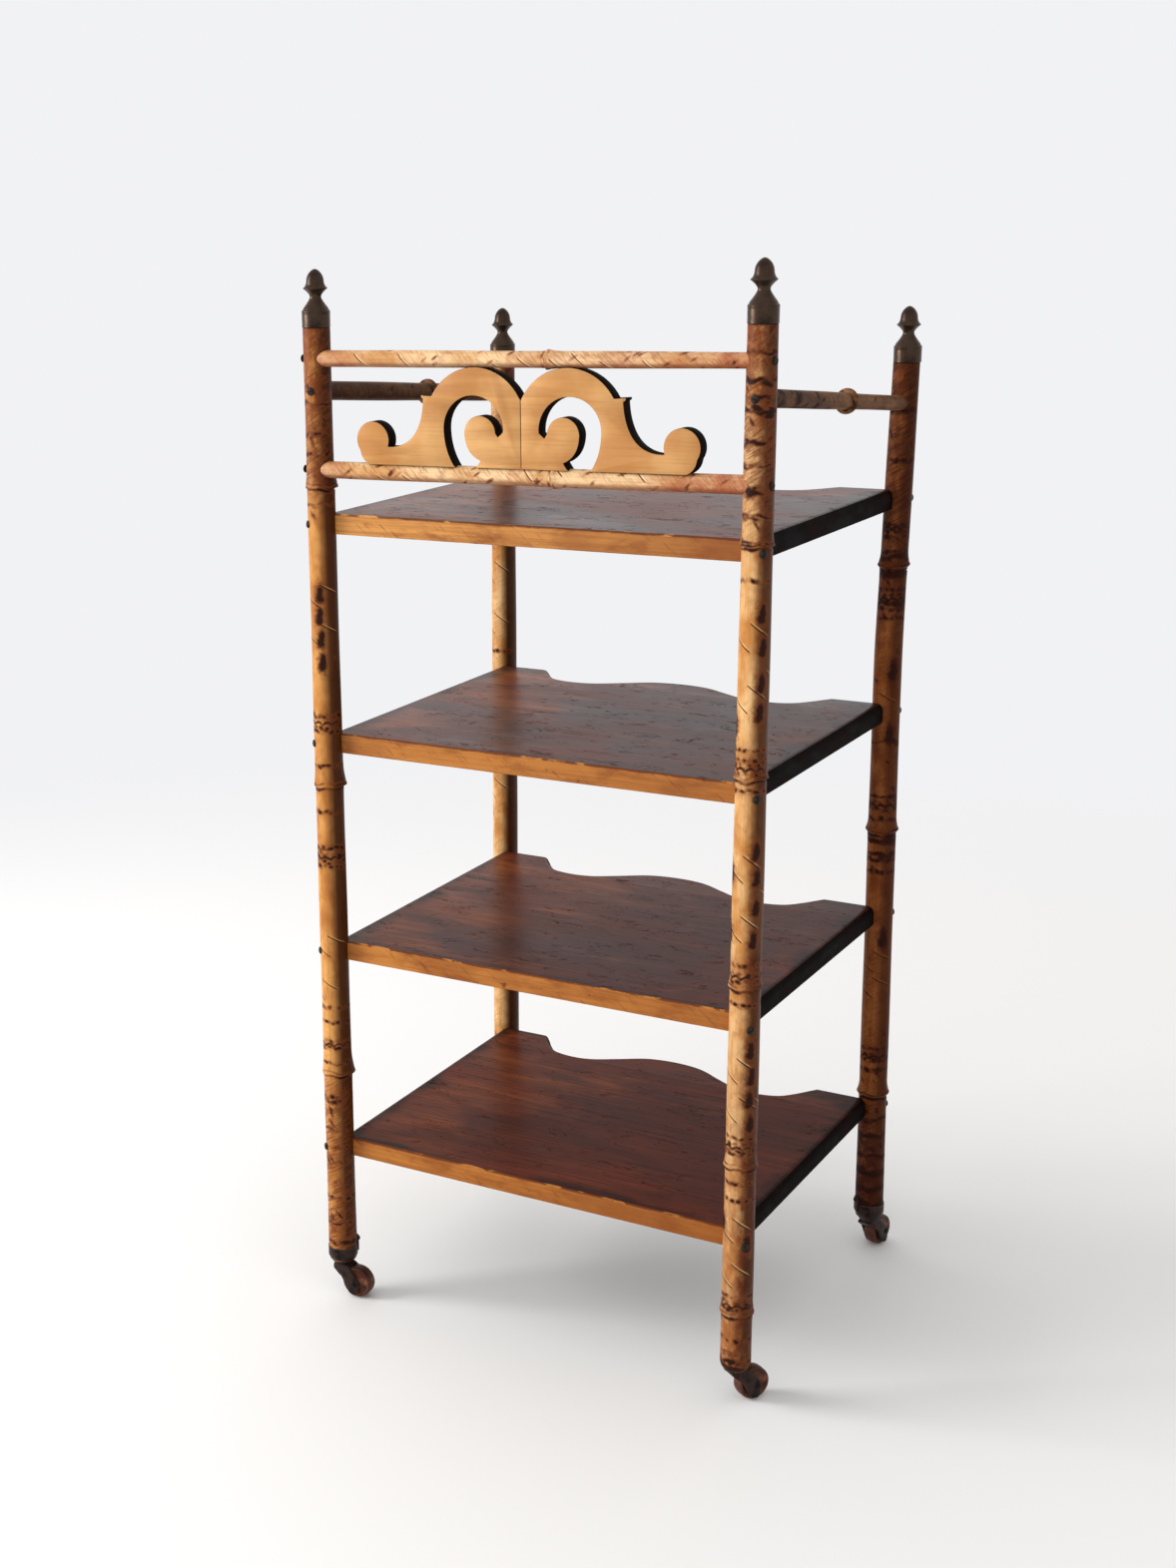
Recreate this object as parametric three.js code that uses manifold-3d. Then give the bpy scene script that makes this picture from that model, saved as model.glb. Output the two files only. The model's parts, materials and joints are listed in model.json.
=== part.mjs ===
// A burnt-bamboo étagère: four cane posts on castors carry four shaped shelves, with bronze
// acorn finials, cane rails and a scroll-sawn gallery at the back of the top shelf.
// Millimetres, +Z up. The floor is z = 0. The posts are laid out round the middle of their four axes.
// The back, with the gallery, faces -Y. The serpentine fronts of the shelves face +Y.
import * as THREE from "three";
import { mergeVertices } from "three/addons/utils/BufferGeometryUtils.js";
import Module from "manifold-3d";

const wasm = await Module();
wasm.setup();

// Clearances
const gap = 0.3;
const capFit = 0.5;
const cutOverrun = 1;

// Posts
const postSpacingX = 466;
const postSpacingY = 384;
const postFootRadius = 15.7;
const postTipRadius = 13.6;
const crookedPostBow = 3.2;
const bareFootRadius = 12;
const bareFootTaper = 9;
const kinkShare = 0.67;
const postSides = 16;

// Nodes, the swollen joints of the cane. Bold ones swell more, and more on the side that bore a branch.
const nodeSwell = 1.9;
const nodeFlare = 14;
const boldNodeSwell = 2.6;
const boldNodeFlare = 28;
const branchSwell = 1.3;
const nodeRidge = 1.2;
const nodeGroove = 0.5;
const nodeGrooveWidth = 2.4;

// Shelves
const shelfCount = 4;
const lowestShelfTop = 188;
const shelfPitch = 227.4;
const shelfThickness = 21;
const shelfSideInset = 1.5;
const shelfBackInset = 2.8;
const shelfFrontInset = 7;
const coveDepth = 44.5;
const shelfRounding = 8;

// Gallery rails, side rails and fretwork
const upperRailRadii = [8.3, 7.2];
const lowerRailRadii = [8.3, 8.8];
const leftRailRadii = [9.5, 9.2];
const rightRailRadii = [8.8, 7.1];
const galleryNodeSwell = 1.8;
const sideNodeSwell = 4.6;
const railNodeFlare = 18;
const railSetOut = 3.6;
const lowerRailRise = 47;
const galleryClimb = 5.3;
const fretHeight = 94.4;
const fretSeat = 1;
const fretThickness = 15;
const fretEndMargin = 51;
const fretCurveSteps = 7;
const sideRailDrop = 30;
const sideRailFall = 39;
const leftRailSag = 4;
const railSides = 10;

// Post tops and finials
const backPostRise = 30.6;
const frontPostRise = 39.8;
const backCapClimb = 7;
const frontCapClimb = 3.5;
const capRadius = 14.2;
const capWall = 1.4;
const capHeight = 16.5;
const crownHeight = 39.5;
const finialSides = 12;

// Screws
const screwHeadRadius = 4;
const screwHeadHeight = 2.2;
const screwShankRadius = 1.9;
const screwPoint = 3;
const shelfScrewGrip = 16;
const railScrewGrip = 22;
const screwSides = 6;

// Castors
const wheelRadius = 17.5;
const wheelWidth = 15;
const wheelDish = 1.4;
const hubRadius = 6;
const wheelSides = 18;
const castorHeight = 38;
const castorTrail = 19.5;
const castorPlay = 0.8;
const wheelPlay = 1.4;
const forkArm = 3.6;
const crownRadius = 7.6;
const crownDepth = 5.4;
const stemRadius = 4;
const stemLength = 30;
const axleRadius = 2.2;
const axleHeadRadius = 3.6;
const axleHeadHeight = 1.2;

// Ferrules, the bronze cups round the post feet
const ferruleRadius = 16.3;
const ferruleHeight = 20;
const ferruleWall = 1.4;
const ferruleBase = 4;
const ferruleTaper = 8;
const ferruleFootRadius = 11.5;
const ferruleEarHeight = 9;
const ferruleEarThickness = 1.4;
const ferruleEarDegrees = 18;
const ferruleScrewRadius = 2.6;
const ferruleScrewGrip = 9;
const smallSides = 8;
const earCurveSteps = 3;
const hornCurveSteps = 2;

// Levels that follow from the sizes above
const topShelfTop = lowestShelfTop + (shelfCount - 1) * shelfPitch;
const lowerRailZ = topShelfTop + lowerRailRise;
const fretFootZ = lowerRailZ + (lowerRailRadii[0] + lowerRailRadii[1]) / 2 - fretSeat;
const upperRailZ = fretFootZ + fretHeight - fretSeat + (upperRailRadii[0] + upperRailRadii[1]) / 2;
const sideRailBackZ = upperRailZ - sideRailDrop;
const sideRailFrontZ = sideRailBackZ - sideRailFall;
const backCapZ = upperRailZ + backPostRise;
const frontCapZ = sideRailFrontZ + frontPostRise;
const axleZ = wheelRadius * Math.cos(Math.PI / wheelSides);

// The four corners. Node heights are shares of the post, and the castors stand as they were left.
const corners = [
  { name: "back_left", sideX: -1, sideY: -1, capZ: backCapZ - backCapClimb / 2,
    bow: 0, ferrule: true, bold: true, trailDegrees: 1, nodeShares: [0.216, 0.53, 0.831] },
  { name: "back_right", sideX: 1, sideY: -1, capZ: backCapZ + backCapClimb / 2,
    bow: 0, ferrule: false, bold: false, trailDegrees: 56, nodeShares: [0.06, 0.213, 0.392, 0.589, 0.797] },
  { name: "front_left", sideX: -1, sideY: 1, capZ: frontCapZ - frontCapClimb / 2,
    bow: 0, ferrule: true, bold: false, trailDegrees: 40, nodeShares: [0.07, 0.313, 0.601, 0.891] },
  { name: "front_right", sideX: 1, sideY: 1, capZ: frontCapZ + frontCapClimb / 2,
    bow: crookedPostBow, ferrule: true, bold: false, trailDegrees: 78, nodeShares: [0.152, 0.468, 0.765] },
];
const shelfNames = ["bottom_shelf", "lower_middle_shelf", "upper_middle_shelf", "top_shelf"];

const finish = (color, roughness, metalness) => (
  new THREE.MeshStandardMaterial({ color, roughness, metalness })
);
const materials = {
  bamboo: finish(0xc08a48, 0.42, 0),
  redBamboo: finish(0x6b3a1d, 0.42, 0),
  railBamboo: finish(0xc9a06a, 0.45, 0),
  brownRail: finish(0x5e4a38, 0.5, 0),
  mahogany: finish(0x6a443c, 0.35, 0),
  maple: finish(0xcf9150, 0.5, 0),
  bronze: finish(0x4a4238, 0.45, 0.8),
  iron: finish(0x1f1a17, 0.5, 0.6),
  wheelWood: finish(0x6e3a22, 0.5, 0),
};

// A closed geometry as a solid, facing outward.
function solidOf(geometry) {
  const bare = geometry.index ? geometry.toNonIndexed() : geometry.clone();
  bare.deleteAttribute("normal");
  bare.deleteAttribute("uv");
  const merged = mergeVertices(bare, 1e-4);
  const corner = merged.index.array;
  const kept = [];
  for (let i = 0; i < corner.length; i += 3) {
    const [a, b, c] = [corner[i], corner[i + 1], corner[i + 2]];
    if (a !== b && b !== c && c !== a) kept.push(a, b, c);
  }
  const build = (indices) => new wasm.Manifold(new wasm.Mesh({
    numProp: 3,
    vertProperties: new Float32Array(merged.attributes.position.array),
    triVerts: new Uint32Array(indices),
  }));
  const solid = build(kept);
  return solid.volume() < 0 ? build(kept.reverse()) : solid;
}

function geometryOf(solid) {
  const mesh = solid.getMesh();
  const geometry = new THREE.BufferGeometry();
  geometry.setAttribute("position", new THREE.BufferAttribute(new Float32Array(mesh.vertProperties), 3));
  geometry.setIndex(new THREE.BufferAttribute(new Uint32Array(mesh.triVerts), 1));
  geometry.computeVertexNormals();
  return geometry;
}

const joined = (solids) => solids.reduce((whole, solid) => whole.add(solid));
const cutFrom = (solid, cutters) => cutters.reduce((rest, cutter) => rest.subtract(cutter), solid);

// A solid skinned over closed rings of equally many points, listed from the lowest ring to the highest.
function skinned(rings) {
  const count = rings[0].length;
  const points = rings.flat();
  const faces = [];
  for (let level = 0; level < rings.length - 1; level += 1) {
    for (let i = 0; i < count; i += 1) {
      const next = (i + 1) % count;
      const [a, b] = [level * count + i, level * count + next];
      faces.push(a, b, b + count, a, b + count, a + count);
    }
  }
  const flat = (ring) => ring.map((point) => new THREE.Vector2(point.x, point.y));
  const last = (rings.length - 1) * count;
  for (const [a, b, c] of THREE.ShapeUtils.triangulateShape(flat(rings[0]), [])) faces.push(c, b, a);
  for (const [a, b, c] of THREE.ShapeUtils.triangulateShape(flat(rings.at(-1)), [])) {
    faces.push(last + a, last + b, last + c);
  }
  const geometry = new THREE.BufferGeometry().setFromPoints(points);
  geometry.setIndex(faces);
  return geometry;
}

// A profile of [radius, height] pairs turned about the vertical axis.
function turned(profile, sides, startAngle = 0) {
  const points = profile.map(([radius, height]) => new THREE.Vector2(radius, height));
  return new THREE.LatheGeometry(points, sides, startAngle).rotateX(Math.PI / 2);
}

// An upright rod from one height to another.
function rod(radius, fromZ, toZ, sides) {
  return new THREE.CylinderGeometry(radius, radius, toZ - fromZ, sides)
    .rotateX(Math.PI / 2)
    .translate(0, 0, (fromZ + toZ) / 2);
}

// [height, radius, shift] sections of a tapering cane. At each node a narrow groove runs below a sharp
// ridge, and above the ridge the swelling dies away in a trumpet. The branch's side shifts the ridge.
const trumpetShare = 0.3;

function caneSections(fromZ, toZ, fromRadius, toRadius, nodeHeights, { swell, flare, branch }) {
  const radiusAt = (z) => THREE.MathUtils.mapLinear(z, fromZ, toZ, fromRadius, toRadius);
  const sections = [[fromZ, fromRadius, 0]];
  for (const z of nodeHeights) {
    const ridgeZ = z + nodeRidge;
    sections.push([z - nodeGrooveWidth, radiusAt(z - nodeGrooveWidth), 0]);
    sections.push([z, radiusAt(z) - nodeGroove, 0]);
    sections.push([ridgeZ, radiusAt(z) + swell, branch]);
    sections.push([ridgeZ + flare / 2, radiusAt(z) + trumpetShare * swell, trumpetShare * branch]);
    sections.push([ridgeZ + flare, radiusAt(ridgeZ + flare), 0]);
  }
  sections.push([toZ, toRadius, 0]);
  return sections;
}

function caneSolid(sections, sides, growth, offsetAt) {
  const rings = sections.map(([z, radius, shift]) => Array.from({ length: sides }, (_, i) => {
    const angle = ((i + 0.5) / sides) * 2 * Math.PI;
    const reach = radius + growth;
    return new THREE.Vector3(offsetAt(z) + shift + reach * Math.cos(angle), reach * Math.sin(angle), z);
  }));
  return solidOf(skinned(rings));
}

// Posts
for (const corner of corners) {
  corner.axis = new THREE.Vector3((corner.sideX * postSpacingX) / 2, (corner.sideY * postSpacingY) / 2, 0);
  corner.outward = new THREE.Vector3(corner.sideX, corner.sideY, 0).normalize();
  corner.footZ = corner.ferrule ? castorHeight + ferruleBase + gap : castorHeight;
  corner.topZ = corner.capZ + capHeight - capFit;
  corner.bores = [];
}

// How far the cane stands aside of its upright axis at a height: a crooked one leans both ways from a kink.
function leanAt(corner, z) {
  const share = (z - corner.footZ) / (corner.topZ - corner.footZ);
  const fromKink = share < kinkShare ? 1 - share / kinkShare : (share - kinkShare) / (1 - kinkShare);
  return corner.bow * (2 * fromKink - 1);
}

const pointOnPost = (corner, z) => new THREE.Vector3(corner.axis.x + leanAt(corner, z), corner.axis.y, z);

// A foot either steps in to sit in its ferrule or, where there is none, tapers to the castor.
// The tip steps in to a spigot that fits the finial's cap whatever way their facets lie.
function postSections(corner) {
  const height = corner.topZ - corner.footZ;
  const nodes = corner.nodeShares.map((share) => corner.footZ + share * height);
  const node = corner.bold
    ? { swell: boldNodeSwell, flare: boldNodeFlare, branch: branchSwell }
    : { swell: nodeSwell, flare: nodeFlare, branch: 0 };
  const sections = caneSections(corner.footZ, corner.topZ, postFootRadius, postTipRadius, nodes, node);
  if (corner.ferrule) {
    const spigot = ferruleRadius - ferruleWall - gap;
    const shoulderZ = castorHeight + ferruleHeight + gap;
    sections.splice(0, 1, [corner.footZ, spigot, 0], [shoulderZ, spigot, 0],
      [shoulderZ + gap, postFootRadius, 0]);
  } else {
    sections.splice(0, 1, [corner.footZ, bareFootRadius, 0],
      [corner.footZ + bareFootTaper, postFootRadius, 0]);
  }
  if (corner.bow > 0) {
    const kinkRadius = THREE.MathUtils.lerp(postFootRadius, postTipRadius, kinkShare);
    sections.push([corner.footZ + kinkShare * height, kinkRadius, 0]);
    sections.sort(([lowZ], [highZ]) => lowZ - highZ);
  }
  const tip = (capRadius - capWall) * Math.cos(Math.PI / finialSides) - capFit;
  sections.splice(-1, 1, [corner.capZ - 2 * gap, postTipRadius, 0], [corner.capZ - gap, tip, 0],
    [corner.topZ, tip, 0]);
  return sections;
}

function postSolid(corner, growth) {
  const cane = caneSolid(postSections(corner), postSides, growth, (z) => leanAt(corner, z));
  return cane.translate(corner.axis.x, corner.axis.y, 0);
}

// How far the cane reaches from its middle anywhere under a screw's head, on the flats of its facets.
function seatRadius(corner, z, headRadius) {
  const sections = postSections(corner);
  const radiusAt = (height) => {
    const above = Math.max(1, sections.findIndex(([level]) => level >= height));
    const [[lowZ, lowRadius], [highZ, highRadius]] = [sections[above - 1], sections[above]];
    return THREE.MathUtils.mapLinear(height, lowZ, highZ, lowRadius, highRadius);
  };
  const within = sections.filter(([level]) => Math.abs(level - z) < headRadius).map(([, radius]) => radius);
  const reach = Math.max(radiusAt(z - headRadius), radiusAt(z + headRadius), ...within);
  return reach * Math.cos(Math.PI / postSides);
}

// Screws stand along their local +Z, with the underside of the domed head at z = 0. The dome's places
// are shares of the head's radius and height.
const screwDomeShares = [[1, 0], [1, 0.3], [0.6, 0.85], [0, 1]];

function screwGeometry(headRadius, headHeight, length) {
  return turned([
    [0, -length], [screwShankRadius, screwPoint - length], [screwShankRadius, 0],
    ...screwDomeShares.map(([across, up]) => [across * headRadius, up * headHeight]),
  ], screwSides);
}

const screws = [];

// A screw driven along a direction into a post. What lies under its head reaches so far from the
// post's middle, and the shank runs on past the post's far side by its grip.
function addScrew(name, corner, middle, outward, seat, headRadius, length) {
  const head = middle.clone().addScaledVector(outward, seat + gap);
  const turn = new THREE.Quaternion().setFromUnitVectors(new THREE.Vector3(0, 0, 1), outward);
  const frame = new THREE.Matrix4().compose(head, turn, new THREE.Vector3(1, 1, 1));
  const geometry = screwGeometry(headRadius, (headRadius / screwHeadRadius) * screwHeadHeight, length);
  const shaft = rod(screwShankRadius + gap, -length - gap, cutOverrun + gap, screwSides);
  const screw = { name, geometry, head, turn, bore: solidOf(shaft.applyMatrix4(frame)) };
  screws.push(screw);
  corner.bores.push(screw.bore);
  return screw;
}

// Rails
const [backLeft, backRight, frontLeft, frontRight] = corners;
const backward = new THREE.Vector3(0, -railSetOut, 0);
const rails = [
  { name: "upper_gallery_rail", from: backLeft, to: backRight, fromZ: upperRailZ - galleryClimb / 2,
    toZ: upperRailZ + galleryClimb / 2, setOut: backward, radii: upperRailRadii, swell: galleryNodeSwell,
    nodeShare: 0.55, material: materials.railBamboo },
  { name: "lower_gallery_rail", from: backLeft, to: backRight, fromZ: lowerRailZ - galleryClimb / 2,
    toZ: lowerRailZ + galleryClimb / 2, setOut: backward, radii: lowerRailRadii, swell: galleryNodeSwell,
    nodeShare: 0.565, material: materials.railBamboo },
  { name: "left_side_rail", from: backLeft, to: frontLeft, fromZ: sideRailBackZ - leftRailSag,
    toZ: sideRailFrontZ, setOut: new THREE.Vector3(), radii: leftRailRadii, swell: sideNodeSwell,
    nodeShare: 0.55, material: materials.brownRail },
  { name: "right_side_rail", from: backRight, to: frontRight, fromZ: sideRailBackZ, toZ: sideRailFrontZ,
    setOut: new THREE.Vector3(), radii: rightRailRadii, swell: sideNodeSwell, nodeShare: 0.55,
    material: materials.brownRail },
];

for (const rail of rails) {
  const start = pointOnPost(rail.from, rail.fromZ).add(rail.setOut);
  const end = pointOnPost(rail.to, rail.toZ).add(rail.setOut);
  rail.start = start;
  rail.length = start.distanceTo(end);
  rail.direction = end.clone().sub(start).normalize();
  rail.turn = new THREE.Quaternion().setFromUnitVectors(new THREE.Vector3(0, 0, 1), rail.direction);
  rail.frame = new THREE.Matrix4().compose(start, rail.turn, new THREE.Vector3(1, 1, 1));
  rail.screws = [[rail.from, rail.fromZ, -1], [rail.to, rail.toZ, 1]].map(([corner, z, side]) => {
    const outward = rail.direction.clone().setZ(0).normalize().multiplyScalar(side);
    const middle = pointOnPost(corner, z).add(rail.setOut);
    const seat = seatRadius(corner, z, screwHeadRadius);
    return addScrew(`${rail.name}_screw_${corner.name}`, corner, middle, outward, seat, screwHeadRadius,
      2 * seat + railScrewGrip);
  });
}

function railSolid(rail, growth) {
  const node = { swell: rail.swell, flare: railNodeFlare, branch: 0 };
  const sections = caneSections(0, rail.length, ...rail.radii, [rail.length * rail.nodeShare], node);
  return caneSolid(sections, railSides, growth, () => 0).transform(rail.frame.elements);
}

// Shelves
const shelfHalfWidth = postSpacingX / 2 - shelfSideInset;
const shelfBackY = -postSpacingY / 2 + shelfBackInset;
const shelfFrontY = postSpacingY / 2 - shelfFrontInset;

// The right half of the serpentine front from the square ear to the middle of the bulge:
// shares of the half width across and of the cove's depth inward.
const serpentineShares = [
  [0.739, 0], [0.703, 0.26], [0.662, 0.56], [0.6, 0.88], [0.5, 1], [0.4, 0.93], [0.285, 0.6],
  [0.15, 0.2], [0, 0.08],
];

function serpentinePoints() {
  const mirrored = serpentineShares.slice(0, -1).reverse().map(([across, inward]) => [-across, inward]);
  const curve = new THREE.SplineCurve([...serpentineShares, ...mirrored].map(([across, inward]) => (
    new THREE.Vector2(across * shelfHalfWidth, shelfFrontY - inward * coveDepth)
  )));
  return curve.getPoints(3 * serpentineShares.length);
}

// The outline runs anticlockwise from the left back corner. Only its first edge, at the back, stays square.
const shelfOutline = [
  new THREE.Vector2(-shelfHalfWidth, shelfBackY),
  new THREE.Vector2(shelfHalfWidth, shelfBackY),
  new THREE.Vector2(shelfHalfWidth, shelfFrontY),
  ...serpentinePoints(),
  new THREE.Vector2(-shelfHalfWidth, shelfFrontY),
];

// Each corner of an outline moves to where its two edges meet once they are set in, all but the back one.
function setInOutline(outline, inset) {
  const count = outline.length;
  const inward = outline.map((point, i) => {
    const edge = outline[(i + 1) % count].clone().sub(point).normalize();
    return new THREE.Vector2(-edge.y, edge.x);
  });
  return outline.map((point, i) => {
    const before = inward[(i + count - 1) % count];
    const after = inward[i];
    const insetBefore = i === 1 ? 0 : inset;
    const insetAfter = i === 0 ? 0 : inset;
    const cross = before.x * after.y - before.y * after.x;
    if (Math.abs(cross) < 0.02) return point.clone().addScaledVector(after, insetAfter);
    return new THREE.Vector2(
      point.x + (insetBefore * after.y - insetAfter * before.y) / cross,
      point.y + (insetAfter * before.x - insetBefore * after.x) / cross,
    );
  });
}

function shelfSolid(topZ) {
  const bottomZ = topZ - shelfThickness;
  const levels = [[bottomZ, 0], [topZ - shelfRounding, 0]];
  for (const degrees of [45, 90]) {
    const angle = THREE.MathUtils.degToRad(degrees);
    levels.push([
      topZ - shelfRounding * (1 - Math.sin(angle)),
      shelfRounding * (1 - Math.cos(angle)),
    ]);
  }
  return solidOf(skinned(levels.map(([z, inset]) => (
    setInOutline(shelfOutline, inset).map((point) => new THREE.Vector3(point.x, point.y, z))
  ))));
}

const shelves = shelfNames.map((name, level) => {
  const topZ = lowestShelfTop + level * shelfPitch;
  const middleZ = topZ - shelfThickness / 2;
  const fasteners = corners.map((corner) => {
    const seat = seatRadius(corner, middleZ, screwHeadRadius);
    return addScrew(`${name}_screw_${corner.name}`, corner, pointOnPost(corner, middleZ), corner.outward,
      seat, screwHeadRadius, 2 * seat + shelfScrewGrip);
  });
  return { name, topZ, fasteners };
});

// Fretwork: one half of the scroll-sawn gallery, right of its middle seam. Places and radii are shares
// of the half width across and of the height upward.
const fretShares = {
  arch: { x: 0.269, z: 0.436, across: 0.297, up: 0.564 },
  void: { x: 0.28, z: 0.386, across: 0.176, up: 0.334 },
  lobe: { x: 0.242, z: 0.344, across: 0.093, up: 0.177 },
  volute: { x: 0.898, z: 0.253, across: 0.1, up: 0.19 },
  trunkFoot: [0.268, 0],
  trunkWaist: [0.242, 0.073],
  lobeHeel: [0.33, 0.136],
  hook: [0.135, 0.313],
  legKnee: [0.456, 0.167],
  legFoot: [0.394, 0],
  voluteHeel: [0.923, 0],
  voluteKnee: [0.972, 0.04],
  sweepFoot: [0.66, 0.177],
  sweepBelly: [0.588, 0.376],
  sweepHead: [0.58, 0.68],
  spurTip: [0.591, 0.695],
  spurTop: [0.591, 0.716],
};

// Where each arc starts and ends, in degrees from the level. The arch ends on the middle seam.
const fretDegrees = { lobe: [0, 178], void: [184, 0], volute: [-35, 200], archStart: 29 };

function fretShape() {
  const halfWidth = postSpacingX / 2 - fretEndMargin;
  const at = ([across, up]) => [across * halfWidth, up * fretHeight];
  const shape = new THREE.Shape();
  const arc = ({ x, z, across, up }, [fromDegrees, toDegrees], clockwise) => {
    shape.absellipse(x * halfWidth, z * fretHeight, across * halfWidth, up * fretHeight,
      THREE.MathUtils.degToRad(fromDegrees), THREE.MathUtils.degToRad(toDegrees), clockwise);
  };
  const { arch, lobe, volute } = fretShares;
  const lobeStart = at([lobe.x + lobe.across, lobe.z]);
  const voluteStart = THREE.MathUtils.degToRad(fretDegrees.volute[0]);
  const valleyDegrees = THREE.MathUtils.radToDeg(Math.acos((gap / 2 / halfWidth - arch.x) / arch.across));
  shape.moveTo(gap / 2, 0);
  shape.lineTo(...at(fretShares.trunkFoot));
  shape.lineTo(...at(fretShares.trunkWaist));
  shape.quadraticCurveTo(...at(fretShares.lobeHeel), ...lobeStart);
  arc(lobe, fretDegrees.lobe, false);
  shape.lineTo(...at(fretShares.hook));
  arc(fretShares.void, fretDegrees.void, true);
  shape.quadraticCurveTo(...at(fretShares.legKnee), ...at(fretShares.legFoot));
  shape.lineTo(...at(fretShares.voluteHeel));
  shape.quadraticCurveTo(...at(fretShares.voluteKnee), ...at([
    volute.x + volute.across * Math.cos(voluteStart), volute.z + volute.up * Math.sin(voluteStart),
  ]));
  arc(volute, fretDegrees.volute, false);
  shape.bezierCurveTo(...at(fretShares.sweepFoot), ...at(fretShares.sweepBelly), ...at(fretShares.sweepHead));
  shape.lineTo(...at(fretShares.spurTip));
  shape.lineTo(...at(fretShares.spurTop));
  arc(arch, [fretDegrees.archStart, valleyDegrees], false);
  return shape;
}

function fretSolid(side) {
  const board = new THREE.ExtrudeGeometry(fretShape(), {
    depth: fretThickness, bevelEnabled: false, curveSegments: fretCurveSteps,
  });
  board.rotateX(Math.PI / 2);
  board.translate(0, fretThickness / 2, 0);
  if (side < 0) board.rotateZ(Math.PI);
  board.rotateY(-Math.atan2(galleryClimb, postSpacingX));
  board.translate(0, -postSpacingY / 2 - railSetOut, fretFootZ);
  return solidOf(board);
}

// Finials: a cap over the post's tip, a cone, a neck and an acorn with a sharp lip.
// Shares of the cap's radius and of the crown's height.
const crownShares = [
  [0.94, 0], [0.87, 0.05], [0.54, 0.21], [0.4, 0.31], [0.6, 0.44], [0.85, 0.52], [0.85, 0.54],
  [0.69, 0.59], [0.6, 0.67], [0.57, 0.76], [0.45, 0.87], [0.26, 0.955],
];

function finialGeometry() {
  const boreRadius = capRadius - capWall;
  const crown = crownShares.map(([radius, height]) => [radius * capRadius, capHeight + height * crownHeight]);
  return turned([
    [0, capHeight], [boreRadius, capHeight], [boreRadius, 0], [capRadius, 0], [capRadius, capHeight - gap],
    ...crown, [0, capHeight + crownHeight],
  ], finialSides);
}

// Ferrule: a cup with a floor that the castor's stem passes, and an ear that a screw holds to the post.
const earDirection = (corner) => corner.outward.clone().negate();
const earScrewZ = castorHeight + ferruleHeight + ferruleEarHeight / 2;

function ferruleSolid(corner) {
  const inner = ferruleRadius - ferruleWall;
  const cup = turned([
    [stemRadius + gap, 0], [ferruleFootRadius, 0], [ferruleRadius, ferruleTaper],
    [ferruleRadius, ferruleHeight], [inner, ferruleHeight], [inner, ferruleBase],
    [stemRadius + gap, ferruleBase], [stemRadius + gap, 0],
  ], postSides, Math.PI / postSides);
  const outerEar = ferruleRadius + ferruleEarThickness;
  const innerEar = ferruleRadius - gap / 2;
  const middle = Math.atan2(-corner.outward.y, -corner.outward.x);
  const ear = new THREE.Shape();
  const half = THREE.MathUtils.degToRad(ferruleEarDegrees);
  ear.absarc(0, 0, outerEar, middle - half, middle + half, false);
  ear.absarc(0, 0, innerEar, middle + half, middle - half, true);
  const earHeight = ferruleEarHeight + ferruleHeight / 2;
  const earGeometry = new THREE.ExtrudeGeometry(ear, {
    depth: earHeight, bevelEnabled: false, curveSegments: earCurveSteps,
  });
  earGeometry.translate(0, 0, ferruleHeight / 2);
  const foot = pointOnPost(corner, corner.footZ);
  return joined([solidOf(cup), solidOf(earGeometry)]).translate(foot.x, foot.y, castorHeight);
}

// Castors: local +X is the way the wheel trails, and the axle runs along Y.
const forkWidth = wheelWidth + 2 * castorPlay + 2 * forkArm;
const forkTopZ = castorHeight - gap;

// The horn-shaped arms seen from the side, from the crown's front down to the tip and back up: shares of
// the way from the pivot to the axle across and of the way from the floor to the fork's top upward.
const hornShares = [
  [-0.12, 0.74], [0.16, 0.6], [0.4, 0.36], [0.66, 0.15], [1.04, 0.1], [1.24, 0.24], [1.26, 0.46],
  [1.1, 0.64], [0.72, 0.86],
];
// The fork seen from behind: how far its sides stand out, as shares of the way from the crown's radius to
// the full width, at shares of the way from the floor to the fork's top.
const splayShares = [[1, 0.66], [0.88, 0.8], [0.4, 0.9]];

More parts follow.
